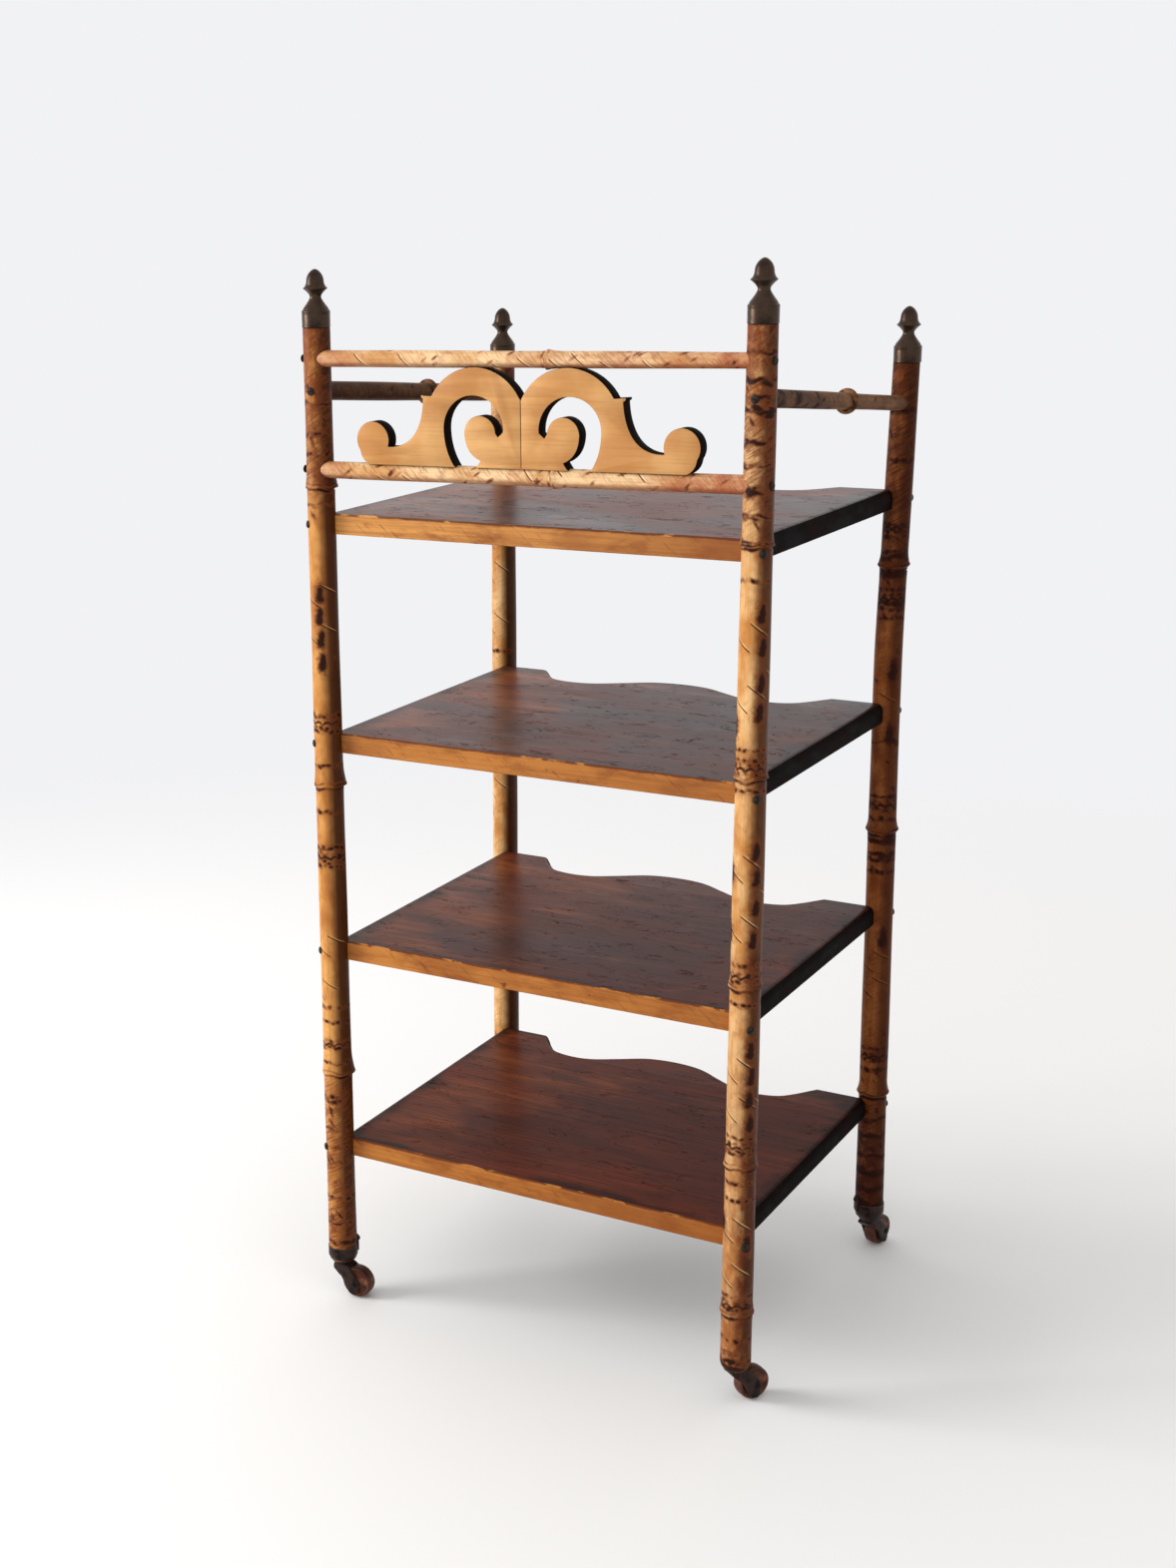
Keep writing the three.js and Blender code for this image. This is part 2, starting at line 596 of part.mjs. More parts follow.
function forkSolid() {
  const side = new THREE.Shape();
  side.moveTo(-crownRadius, forkTopZ);
  side.lineTo(-crownRadius, forkTopZ - crownDepth);
  side.splineThru(hornShares.map(([across, up]) => new THREE.Vector2(across * castorTrail, up * forkTopZ)));
  side.lineTo(crownRadius, forkTopZ);
  const profile = new THREE.ExtrudeGeometry(side, {
    depth: forkWidth, bevelEnabled: false, curveSegments: hornCurveSteps,
  });
  profile.rotateX(Math.PI / 2);
  profile.translate(0, forkWidth / 2, 0);
  const outs = splayShares.map(([out, up]) => [
    THREE.MathUtils.lerp(crownRadius, forkWidth / 2, out), up * forkTopZ,
  ]);
  const edge = [[forkWidth / 2, 0], ...outs, [crownRadius, forkTopZ]];
  const back = new THREE.Shape([
    ...edge.map(([out, z]) => new THREE.Vector2(out, z)),
    ...edge.toReversed().map(([out, z]) => new THREE.Vector2(-out, z)),
  ]);
  const reach = 2 * (castorTrail + wheelRadius);
  const splay = new THREE.ExtrudeGeometry(back, { depth: reach, bevelEnabled: false });
  splay.rotateX(Math.PI / 2).rotateZ(Math.PI / 2).translate(-reach / 2, 0, 0);
  const stem = rod(stemRadius, forkTopZ - crownDepth / 2, forkTopZ + stemLength, smallSides);
  const slot = new THREE.CylinderGeometry(wheelRadius + wheelPlay, wheelRadius + wheelPlay,
    wheelWidth + 2 * castorPlay, wheelSides).translate(castorTrail, 0, axleZ);
  const pinHole = new THREE.CylinderGeometry(axleRadius + gap, axleRadius + gap,
    forkWidth + 2 * cutOverrun, smallSides).translate(castorTrail, 0, axleZ);
  const horns = solidOf(profile).intersect(solidOf(splay));
  return cutFrom(joined([horns, solidOf(stem)]), [solidOf(slot), solidOf(pinHole)]);
}

// The wheel's rim as shares of its radius and of half its width, from its dished face to the tread.
const wheelRimShares = [[0.84, 1], [1, 0.5]];

function wheelGeometry() {
  const half = wheelWidth / 2;
  const bore = axleRadius + gap;
  const rim = wheelRimShares.map(([radius, out]) => [radius * wheelRadius, out * half]);
  const face = [[bore, half], [hubRadius, half], [hubRadius + wheelDish, half - wheelDish], ...rim];
  const near = face.map(([radius, out]) => new THREE.Vector2(radius, -out));
  const far = face.map(([radius, out]) => new THREE.Vector2(radius, out)).reverse();
  return new THREE.LatheGeometry([...near, ...far, near[0].clone()], wheelSides, Math.PI / wheelSides);
}

const axleHeadShare = 0.7;

function axleGeometry() {
  const half = forkWidth / 2 + gap;
  const end = [
    [0, half + axleHeadHeight], [axleHeadRadius * axleHeadShare, half + axleHeadHeight],
    [axleHeadRadius, half], [axleRadius, half],
  ];
  const near = end.map(([radius, out]) => new THREE.Vector2(radius, -out));
  const far = end.map(([radius, out]) => new THREE.Vector2(radius, out)).reverse();
  return new THREE.LatheGeometry([...near, ...far], smallSides);
}

// Assembly
const etagere = new THREE.Group();

function addMesh(parent, name, geometry, material, position) {
  const mesh = new THREE.Mesh(geometry, material);
  mesh.name = name;
  if (position) mesh.position.copy(position);
  parent.add(mesh);
  return mesh;
}

function addSolid(name, solid, material, position) {
  const local = solid.translate(-position.x, -position.y, -position.z);
  addMesh(etagere, name, geometryOf(local), material, position);
}

for (const corner of corners.filter((each) => each.ferrule)) {
  const seat = ferruleRadius + ferruleEarThickness;
  corner.earScrew = addScrew(`ferrule_screw_${corner.name}`, corner, pointOnPost(corner, earScrewZ),
    earDirection(corner), seat, ferruleScrewRadius, seat - postFootRadius + ferruleScrewGrip);
}

// The flats of the bore's facets clear the stem at whatever angle the castor stands.
const stemBore = (corner) => {
  const foot = pointOnPost(corner, corner.footZ);
  const radius = (stemRadius + gap) / Math.cos(Math.PI / smallSides);
  const bore = rod(radius, castorHeight - cutOverrun, forkTopZ + stemLength + gap, smallSides);
  return solidOf(bore).translate(foot.x, foot.y, 0);
};

const postClearances = corners.map((corner) => postSolid(corner, gap));

for (const corner of corners) {
  const post = cutFrom(postSolid(corner, 0), [...corner.bores, stemBore(corner)]);
  const material = corner.bow > 0 ? materials.redBamboo : materials.bamboo;
  addSolid(`${corner.name}_post`, post, material, corner.axis);
  const cap = pointOnPost(corner, corner.capZ + capHeight / 2).setZ(corner.capZ);
  addMesh(etagere, `${corner.name}_finial`, finialGeometry(), materials.bronze, cap);
}

for (const { name, topZ, fasteners } of shelves) {
  const shelf = cutFrom(shelfSolid(topZ), [...postClearances, ...fasteners.map((screw) => screw.bore)]);
  addSolid(name, shelf, materials.mahogany, new THREE.Vector3(0, 0, topZ));
}

for (const rail of rails) {
  const cane = cutFrom(railSolid(rail, 0), [...postClearances, ...rail.screws.map((screw) => screw.bore)]);
  addSolid(rail.name, cane, rail.material, rail.start);
}

const railClearances = rails.slice(0, 2).map((rail) => railSolid(rail, gap));
for (const [name, side] of [["left_fret", -1], ["right_fret", 1]]) {
  const fret = cutFrom(fretSolid(side), railClearances);
  addSolid(name, fret, materials.maple, new THREE.Vector3(0, -postSpacingY / 2 - railSetOut, lowerRailZ));
}

for (const corner of corners.filter((each) => each.ferrule)) {
  const foot = pointOnPost(corner, corner.footZ).setZ(castorHeight);
  const ferrule = cutFrom(ferruleSolid(corner), [corner.earScrew.bore]);
  addSolid(`${corner.name}_ferrule`, ferrule, materials.bronze, foot);
}

for (const { name, geometry, head, turn } of screws) {
  addMesh(etagere, name, geometry, materials.iron, head).quaternion.copy(turn);
}

const forkShape = forkSolid();
for (const corner of corners) {
  const castor = new THREE.Group();
  castor.position.copy(pointOnPost(corner, corner.footZ).setZ(0));
  castor.rotation.z = THREE.MathUtils.degToRad(corner.trailDegrees);
  etagere.add(castor);
  const hub = new THREE.Vector3(castorTrail, 0, axleZ);
  addMesh(castor, `${corner.name}_fork`, geometryOf(forkShape), materials.bronze);
  addMesh(castor, `${corner.name}_wheel`, wheelGeometry(), materials.wheelWood, hub);
  addMesh(castor, `${corner.name}_axle`, axleGeometry(), materials.iron, hub);
}

// The origin is the middle of the floor under everything, castors included.
const middle = new THREE.Box3().setFromObject(etagere, true).getCenter(new THREE.Vector3());
etagere.position.set(-middle.x, -middle.y, 0);

export default etagere;
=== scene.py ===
import json
import math

import bmesh
import bpy
import numpy as np
from mathutils import Matrix, Vector


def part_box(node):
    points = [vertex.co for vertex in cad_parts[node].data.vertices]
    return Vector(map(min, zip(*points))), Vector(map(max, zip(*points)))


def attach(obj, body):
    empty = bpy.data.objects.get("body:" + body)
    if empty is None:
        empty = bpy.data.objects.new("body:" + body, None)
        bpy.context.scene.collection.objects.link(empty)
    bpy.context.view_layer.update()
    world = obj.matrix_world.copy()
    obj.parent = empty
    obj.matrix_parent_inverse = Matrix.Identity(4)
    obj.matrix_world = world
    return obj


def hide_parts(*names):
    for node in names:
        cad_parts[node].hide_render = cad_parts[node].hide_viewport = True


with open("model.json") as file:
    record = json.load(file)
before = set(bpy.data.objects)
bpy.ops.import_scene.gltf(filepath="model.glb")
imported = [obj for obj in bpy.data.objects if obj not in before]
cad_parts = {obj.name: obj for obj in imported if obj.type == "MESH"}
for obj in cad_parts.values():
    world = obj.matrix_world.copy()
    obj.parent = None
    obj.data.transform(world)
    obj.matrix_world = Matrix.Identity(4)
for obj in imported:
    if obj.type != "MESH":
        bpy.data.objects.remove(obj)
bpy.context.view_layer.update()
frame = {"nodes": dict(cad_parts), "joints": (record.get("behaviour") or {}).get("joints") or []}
print("burnt bamboo stand: frame loaded,", len(frame["nodes"]), "solids")

mm = 0.001
fullTurn = 2 * math.pi
middleAxis = sum(joint["pos_m"][0] for joint in frame["joints"] if joint["name"].endswith("_swivel")) / 4
jointAt = {joint["name"]: Vector(joint["pos_m"]) for joint in frame["joints"]}


class wiring:
    # puts the nodes of one material, group or world and links them
    def __init__(self, tree):
        self.tree = tree

    def put(self, kind, inputs=None, **settings):
        node = self.tree.nodes.new(kind)
        for key, value in settings.items():
            setattr(node, key, value)
        for key, value in (inputs or {}).items():
            socket = node.inputs[key]
            if isinstance(value, bpy.types.NodeSocket):
                self.tree.links.new(value, socket)
            else:
                socket.default_value = (*value, 1.0) if socket.type == "RGBA" else value
        return node

    def calc(self, operation, first, second=0.0, clamp=False):
        return self.put("ShaderNodeMath", {0: first, 1: second}, operation=operation, use_clamp=clamp).outputs[0]

    def plus(self, first, second, clamp=False):
        return self.calc("ADD", first, second, clamp)

    def minus(self, first, second, clamp=False):
        return self.calc("SUBTRACT", first, second, clamp)

    def times(self, first, second, clamp=False):
        return self.calc("MULTIPLY", first, second, clamp)

    def between(self, value, low, high, toLow=0.0, toHigh=1.0):
        # smooth step from low to high
        return self.put("ShaderNodeMapRange", {"Value": value, "From Min": low, "From Max": high, "To Min": toLow,
                                               "To Max": toHigh}, interpolation_type="SMOOTHSTEP").outputs[0]

    def lineAt(self, value, level, width):
        # full where the value meets the level, gone a width away from it
        off = self.calc("ABSOLUTE", self.minus(value, level))
        return self.minus(1.0, self.calc("DIVIDE", off, width), clamp=True)

    def blend(self, share, first, second, kind="MIX"):
        return self.put("ShaderNodeMix", {0: share, 6: first, 7: second}, data_type="RGBA", blend_type=kind).outputs[2]

    def coats(self, skin, *layers):
        # each layer is a share and a colour, laid over what is there
        for share, colour, *kind in layers:
            skin = self.blend(share, skin, colour, *kind)
        return skin

    def vector(self, operation, first, second=(0, 0, 0), output=0):
        return self.put("ShaderNodeVectorMath", {0: first, 1: second}, operation=operation).outputs[output]

    def sized(self, vector, x, y, z):
        return self.vector("MULTIPLY", vector, self.put("ShaderNodeCombineXYZ", {0: x, 1: y, 2: z}).outputs[0])

    def split(self, vector):
        return self.put("ShaderNodeSeparateXYZ", {0: vector}).outputs

    def turned(self, vector, angle, axis):
        return self.put("ShaderNodeVectorRotate", {"Vector": vector, "Angle": angle}, rotation_type=axis).outputs[0]

    def stretch(self, vector, x, y, z):
        return self.put("ShaderNodeMapping", {"Vector": vector, "Scale": (x, y, z)}).outputs[0]

    def noise(self, vector, scale, detail=2.0, roughness=0.5, distortion=0.0, output=0):
        return self.put("ShaderNodeTexNoise", {"Vector": vector, "Scale": scale, "Detail": detail,
                                               "Roughness": roughness, "Distortion": distortion}).outputs[output]

    def painted(self, name):
        # a mask that the mesh code painted on the vertices
        return self.put("ShaderNodeAttribute", attribute_name=name).outputs["Fac"]

    def use(self, group, **inputs):
        return self.put("ShaderNodeGroup", inputs, node_tree=shaderGroups[group]).outputs[0]


def drawFlecks(wire, given):
    # short scorched flecks that climb round a cane whose axis is local Z
    vector, across, cover = given["Vector"], given["Across"], given["Cover"]
    turned = wire.turned(vector, wire.times(wire.split(vector)[2], given["Twist"]), "Z_AXIS")
    grain = wire.noise(wire.sized(turned, across, across, given["Along"]), 1.0, 1.5, 0.55, 0.25)
    return wire.between(grain, cover, wire.plus(cover, given["Soft"]))


def drawLoops(wire, given):
    # broken rings like a leopard's spots, flattened along the cane
    vector = given["Vector"]
    pull = wire.vector("MULTIPLY", wire.noise(vector, 260.0, 1.0, output="Color"), (0.006, 0.006, 0.006))
    cells = wire.put("ShaderNodeTexVoronoi", {"Vector": wire.vector("ADD", vector, pull), "Scale": given["Scale"],
                                              "Randomness": 0.9})
    broken = wire.between(wire.noise(vector, 330.0, 1.0), 0.4, 0.56)
    return wire.times(wire.lineAt(cells.outputs["Distance"], given["Size"], given["Width"]), broken)


def drawFibre(wire, given):
    # fine streaks that run along local Z
    return wire.noise(wire.sized(given["Vector"], given["Across"], given["Across"], given["Along"]), 1.0, 3.0, 0.6)


def drawGrain(wire, given):
    # the figure of a flat-sawn board whose length is local X
    swell = wire.noise(wire.sized(given["Vector"], given["Long"], given["Wide"], given["Wide"]), 0.6)
    lines = wire.calc("FRACT", wire.times(swell, wire.times(given["Bands"], given["Sway"])))
    return wire.minus(wire.between(lines, 0.0, 0.55), wire.between(lines, 0.85, 1.0), clamp=True)


def drawWear(wire, given):
    # chips and rubbing along an edge that the mesh code painted
    rough = wire.noise(given["Vector"], given["Scale"], 4.0, 0.65)
    reach = wire.plus(wire.times(rough, 1.1), given["Amount"])
    return wire.between(wire.times(given["Edge"], reach), 0.45, 0.7)


def drawTarnish(wire, given):
    # cloudy patches and specks on old metal and varnish
    cloud = wire.noise(given["Vector"], given["Scale"], 5.0, 0.62, 0.4)
    return wire.between(cloud, given["Cover"], wire.plus(given["Cover"], given["Soft"]))


def drawCrazing(wire, given):
    # short wandering cracks in old varnish
    wander = wire.noise(given["Vector"], given["Scale"], 3.0, 0.6, 0.8)
    places = wire.noise(given["Vector"], 34.0)
    broken = wire.between(places, given["Cover"], wire.plus(given["Cover"], 0.06))
    return wire.times(wire.lineAt(wander, 0.5, given["Width"]), broken)


def makeGroup(name, output, draw, **values):
    tree = bpy.data.node_groups.new(name, "ShaderNodeTree")
    tree.interface.new_socket("Vector", in_out="INPUT", socket_type="NodeSocketVector")
    for label, value in values.items():
        tree.interface.new_socket(label, in_out="INPUT", socket_type="NodeSocketFloat").default_value = value
    tree.interface.new_socket(output, in_out="OUTPUT", socket_type="NodeSocketFloat")
    made = draw(wiring(tree), tree.nodes.new("NodeGroupInput").outputs)
    tree.links.new(made, tree.nodes.new("NodeGroupOutput").inputs[output])
    shaderGroups[name] = tree


shaderGroups = {}
makeGroup("helixFlecks", "Mask", drawFlecks, Twist=60.0, Across=300.0, Along=30.0, Cover=0.62, Soft=0.06)
makeGroup("scorchLoops", "Mask", drawLoops, Scale=150.0, Size=0.42, Width=0.13)
makeGroup("longFibre", "Fibre", drawFibre, Across=900.0, Along=14.0)
makeGroup("boardGrain", "Figure", drawGrain, Long=3.0, Wide=26.0, Bands=5.0, Sway=3.0)
makeGroup("wornArris", "Mask", drawWear, Edge=0.0, Scale=120.0, Amount=0.5)
makeGroup("tarnish", "Mask", drawTarnish, Scale=60.0, Cover=0.5, Soft=0.2)
makeGroup("crazing", "Mask", drawCrazing, Scale=60.0, Width=0.02, Cover=0.5)
print("shader groups ready")


class newFinish(wiring):
    # a material, wired to its Principled BSDF when its colour, roughness and relief are ready
    def __init__(self, name):
        self.material = bpy.data.materials.new(name)
        self.material.use_nodes = True
        super().__init__(self.material.node_tree)
        self.shader = self.tree.nodes["Principled BSDF"]
        self.place = self.put("ShaderNodeTexCoord").outputs["Object"]

    def finishWith(self, skin, dull, relief, strength, depth, shine, metal=None):
        bump = self.put("ShaderNodeBump", {"Height": relief, "Strength": strength, "Distance": depth}).outputs[0]
        ends = {"Base Color": skin, "Roughness": dull, "Normal": bump}
        if metal:
            ends["Metallic"] = metal
        for key, socket in ends.items():
            self.tree.links.new(socket, self.shader.inputs[key])
        self.shader.inputs["Specular IOR Level"].default_value = shine
        return self.material


caneLook = {
    # the stain colour serves real stains and painted shade on one side; shadeSide is the colour of painted shade
    "gold": (0.58, 0.26, 0.07), "straw": (0.84, 0.53, 0.24), "fibre": (0.66, 0.46, 0.28), "toast": (0.36, 0.115, 0.026),
    "stain": (0.19, 0.046, 0.013), "halo": (0.15, 0.038, 0.01), "char": (0.022, 0.005, 0.002),
    # pale is the strength of the painted highlight beside each knife cut
    "cut": (0.035, 0.008, 0.002), "shadeSide": (0.047, 0.0105, 0.002), "shine": 0.09, "gloss": 0.36, "pale": 0.55,
    "twist": -115.0, "fleckAcross": 250.0, "fleckAlong": 105.0, "fleckShare": 0.85,
}
caneLooks = {
    "goldenCane": {},
    "speckledCane": {"gold": (0.46, 0.18, 0.04), "straw": (0.68, 0.34, 0.1), "toast": (0.3, 0.09, 0.022)},
    "darkCane": {
        "gold": (0.19, 0.05, 0.011), "straw": (0.34, 0.115, 0.03), "toast": (0.11, 0.025, 0.008),
        "stain": (0.05, 0.01, 0.005), "halo": (0.03, 0.006, 0.004), "pale": 0.4, "shine": 0.05},
    "railCane": {
        "gold": (0.63, 0.34, 0.13), "straw": (0.88, 0.62, 0.35), "toast": (0.55, 0.24, 0.1),
        "stain": (0.4, 0.115, 0.055), "halo": (0.25, 0.07, 0.028), "char": (0.07, 0.022, 0.012),
        "cut": (0.14, 0.042, 0.016), "pale": 0.8, "twist": -120.0, "fleckAcross": 360.0, "fleckShare": 0.5},
    "sideRailCane": {
        "gold": (0.15, 0.066, 0.03), "straw": (0.36, 0.18, 0.08), "toast": (0.1, 0.04, 0.018),
        "stain": (0.03, 0.015, 0.009), "halo": (0.04, 0.02, 0.012), "pale": 0.5, "twist": -120.0, "shine": 0.04,
        "gloss": 0.5},
}


def caneFinish(name, look):
    wire = newFinish(name)
    place = wire.place
    fibre = wire.use("longFibre", Vector=place, Across=620.0, Along=9.0)
    cloud = wire.noise(wire.stretch(place, 1, 1, 0.4), 42.0, 3.0, 0.6)
    toast = wire.noise(wire.stretch(place, 1, 1, 0.9), 75.0, 3.0, 0.65, 0.6)
    mottle = wire.noise(wire.stretch(place, 1, 1, 0.6), 120.0, 4.0, 0.65)
    stain = wire.times(wire.painted("stain"), wire.between(mottle, 0.32, 0.6, 0.5, 1.0), clamp=True)
    flecks = wire.use("helixFlecks", Vector=place, Twist=look["twist"], Across=look["fleckAcross"],
                      Along=look["fleckAlong"], Cover=0.49, Soft=0.1)
    flecks = wire.times(flecks, wire.painted("flecks"), clamp=True)
    loops = wire.use("scorchLoops", Vector=wire.stretch(place, 1, 1, 1.25), Scale=170.0, Size=0.4, Width=0.2)
    loops = wire.times(loops, wire.times(wire.painted("loops"), 0.55), clamp=True)

    # knife strokes: a dark cut with a pale line beside it, drawn from painted distances in millimetres; the pale line
    # is a painted highlight
    fade = wire.painted("strokeFade")
    waver = wire.times(wire.minus(wire.noise(place, 90.0), 0.5), 0.9)
    across = wire.plus(wire.painted("strokeAcross"), waver)
    cut = wire.calc("ABSOLUTE", wire.plus(across, 0.6))
    strokes = wire.times(wire.between(cut, 0.35, 0.75, 1.0, 0.0), wire.between(fade, 0.15, 0.6))
    # distance to the pale line, a painted highlight
    bare = wire.calc("ABSOLUTE", wire.minus(across, 0.8))
    pale = wire.times(wire.between(bare, 0.3, 0.7, look["pale"], 0.0), fade)

    # a burn has a black core and a brown, ragged halo
    scorch = wire.painted("burn")
    ragged = wire.minus(wire.noise(wire.stretch(place, 1, 1, 1.3), 210.0), 0.5)
    edge = wire.plus(scorch, wire.times(ragged, 0.9))
    halo = wire.times(wire.between(edge, 0.0, 0.6), wire.between(scorch, 0.03, 0.3))
    core = wire.times(wire.between(edge, 0.4, 0.9), wire.between(scorch, 0.25, 0.6))

    skin = wire.coats(
        look["gold"],
        (wire.between(cloud, 0.36, 0.62), look["straw"]),
        (wire.between(toast, 0.48, 0.74, 0.0, 0.45), look["toast"]),
        (wire.between(fibre, 0.35, 0.72, 0.0, 0.4), look["fibre"], "MULTIPLY"),
        # the stain layer holds real stains by height and painted shade on one side; the shadeSide layer is painted
        # shade
        (stain, look["stain"]),
        (wire.painted("shadeSide"), look["shadeSide"]),
        # painted highlight beside each knife cut
        (pale, look["straw"]),
        (wire.times(flecks, look["fleckShare"]), look["halo"]),
        (wire.times(loops, 0.9), look["halo"]),
        (wire.times(halo, 0.85), look["halo"]),
        (core, look["char"]),
        (strokes, look["cut"]))
    dull = wire.plus(wire.plus(wire.times(cloud, 0.2), wire.times(halo, 0.12)), look["gloss"] - 0.1)
    relief = wire.minus(wire.times(fibre, 0.5), wire.plus(strokes, wire.times(halo, 0.3)))
    return wire.finishWith(skin, dull, relief, 0.3, 0.4 * mm, look["shine"])


caneFinishes = {name: caneFinish(name, {**caneLook, **own}) for name, own in caneLooks.items()}

shelfLook = {
    "dark": (0.05, 0.014, 0.009), "red": (0.17, 0.04, 0.018), "orange": (0.36, 0.1, 0.028),
    "ruddy": (0.13, 0.018, 0.006), "sheenGrey": (0.17, 0.1, 0.085), "honeyDark": (0.24, 0.07, 0.018),
    "rust": (0.1, 0.023, 0.01), "black": (0.012, 0.006, 0.005),
    # where the moulded rim begins, and how far its grime reaches
    "halfWide": 0.2315, "frontAt": 0.175, "backAt": 0.212, "rim": 0.026,
}
# each shelf sets how strong its painted grey sheen is
shelfLooks = {
    "bottom_shelf": {
        "shift": 0.0, "redness": 0.55, "sheenPatches": 0.08, "shine": 0.04, "darkerRight": 0.6, "honey": (0.44, 0.165, 0.036)},
    "lower_middle_shelf": {
        "shift": 0.83, "redness": 0.4, "sheenPatches": 0.25, "shine": 0.07, "darkerRight": 0.5, "honey": (0.49, 0.19, 0.042)},
    "upper_middle_shelf": {
        "shift": 1.71, "redness": 0.2, "sheenPatches": 0.45, "shine": 0.12, "darkerRight": 0.4, "honey": (0.48, 0.185, 0.04)},
    "top_shelf": {
        "shift": 2.47, "redness": 0.1, "sheenPatches": 0.45, "shine": 0.14, "darkerRight": 0.75, "honey": (0.62, 0.28, 0.075)},
}


def shelfFinish(name, look):
    wire = newFinish(name)
    spot = wire.split(wire.place)
    place = wire.vector("ADD", wire.place, (look["shift"], look["shift"] * 0.7, 0))
    figure = wire.use("boardGrain", Vector=place, Long=1.6, Wide=11.0, Bands=6.0, Sway=2.4)
    fibre = wire.noise(wire.stretch(place, 7, 330, 330), 1.0, 4.0, 0.65)
    patches = wire.noise(wire.stretch(place, 0.6, 1, 1), 8.0, 4.0, 0.62, 0.7)
    wear = wire.noise(wire.stretch(place, 0.5, 1, 1), 17.0, 4.0, 0.6, 0.4)
    # the top turns lighter and more orange on the side away from the near post, and a little towards +Y
    worn = wire.plus(wear, wire.between(spot[0], -0.25, 0.12, 0.14, -0.08))
    worn = wire.plus(worn, wire.between(spot[1], -0.1, 0.2, 0.0, 0.05))
    # painted sheen: grey patches of reflected haze, stronger on the upper shelves
    sheenPatches = wire.use("tarnish", Vector=wire.stretch(place, 0.5, 1, 1), Scale=20.0, Cover=0.54, Soft=0.16)
    dents = wire.use("tarnish", Vector=wire.stretch(place, 0.45, 1, 1), Scale=105.0, Cover=0.64, Soft=0.08)
    cracks = wire.use("crazing", Vector=wire.stretch(place, 0.7, 1.5, 1), Scale=40.0, Width=0.02, Cover=0.51)
    marks = wire.calc("MAXIMUM", wire.times(dents, 0.45), wire.times(cracks, 0.32))
    # grime lies along the moulded rim
    sideways = wire.calc("ABSOLUTE", wire.minus(spot[0], middleAxis))
    toRim = wire.calc("MAXIMUM", wire.minus(sideways, look["halfWide"]), wire.minus(spot[1], look["frontAt"]))
    toRim = wire.calc("MAXIMUM", toRim, wire.minus(-look["backAt"], spot[1]))
    toRim = wire.plus(toRim, wire.times(wire.minus(wear, 0.5), 0.09))
    top = wire.coats(
        look["dark"],
        (wire.between(patches, 0.36, 0.6), look["red"]),
        (wire.between(worn, 0.5, 0.76, 0.0, 0.85), look["orange"]),
        (look["redness"], look["ruddy"]),
        (wire.times(figure, 0.3), look["dark"]),
        (wire.between(fibre, 0.38, 0.7, 0.0, 0.5), look["black"]),
        (wire.times(sheenPatches, look["sheenPatches"]), look["sheenGrey"]),
        (marks, look["black"]),
        (wire.between(toRim, -look["rim"], 0.0, 0.0, 0.85), look["black"]))

    # the sawn back edge is honey coloured, scratched and darker to the right
    edgeCloud = wire.noise(wire.stretch(place, 0.35, 1, 1), 60.0, 4.0, 0.65)
    broad = wire.noise(place, 11.0)
    scratches = wire.noise(wire.stretch(wire.turned(place, -0.7, "Y_AXIS"), 30, 30, 330), 1.0, 3.0, 0.6)
    backEdge = wire.coats(
        look["honey"],
        (wire.between(edgeCloud, 0.46, 0.7, 0.0, 0.75), look["honeyDark"]),
        (wire.between(broad, 0.48, 0.64, 0.0, 0.5), look["honeyDark"]),
        (wire.between(fibre, 0.4, 0.7, 0.0, 0.5), look["honeyDark"]),
        (wire.between(scratches, 0.58, 0.72, 0.0, 0.55), look["rust"]),
        (wire.times(dents, 0.9), look["rust"]),
        (wire.between(spot[0], -0.15, 0.24, 0.0, look["darkerRight"]), look["honeyDark"]))
    facing = wire.split(wire.put("ShaderNodeNewGeometry").outputs["True Normal"])
    atBack = wire.between(wire.times(facing[1], -1.0), 0.5, 0.7)
    chips = wire.use("wornArris", Edge=wire.painted("arris"), Vector=wire.stretch(place, 0.5, 1, 1), Scale=95.0,
                     Amount=0.46)
    chipped = wire.blend(wire.between(edgeCloud, 0.38, 0.46), look["honey"], look["rust"])
    body = wire.coats(top, (atBack, backEdge), (wire.times(chips, 0.85), chipped))
    dull = wire.plus(wire.times(patches, 0.3), wire.times(fibre, 0.12))
    dull = wire.plus(dull, wire.plus(marks, 0.12), clamp=True)
    relief = wire.minus(wire.times(fibre, 0.45), wire.plus(marks, chips))
    return wire.finishWith(body, dull, relief, 0.3, 0.6 * mm, look["shine"])


def edgeFinish(name, black, brown):
    # end grain, nearly black
    wire = newFinish(name)
    fibre = wire.noise(wire.stretch(wire.place, 90, 90, 420), 1.0, 3.0, 0.6)
    cloud = wire.noise(wire.stretch(wire.place, 0.5, 0.5, 1), 45.0, 4.0, 0.6)
    skin = wire.coats(
        black, (wire.between(cloud, 0.46, 0.7), brown), (wire.between(fibre, 0.45, 0.7, 0.0, 0.6), black))
    return wire.finishWith(skin, wire.between(cloud, 0.3, 0.7, 0.62, 0.85), fibre, 0.25, 0.4 * mm, 0.03)


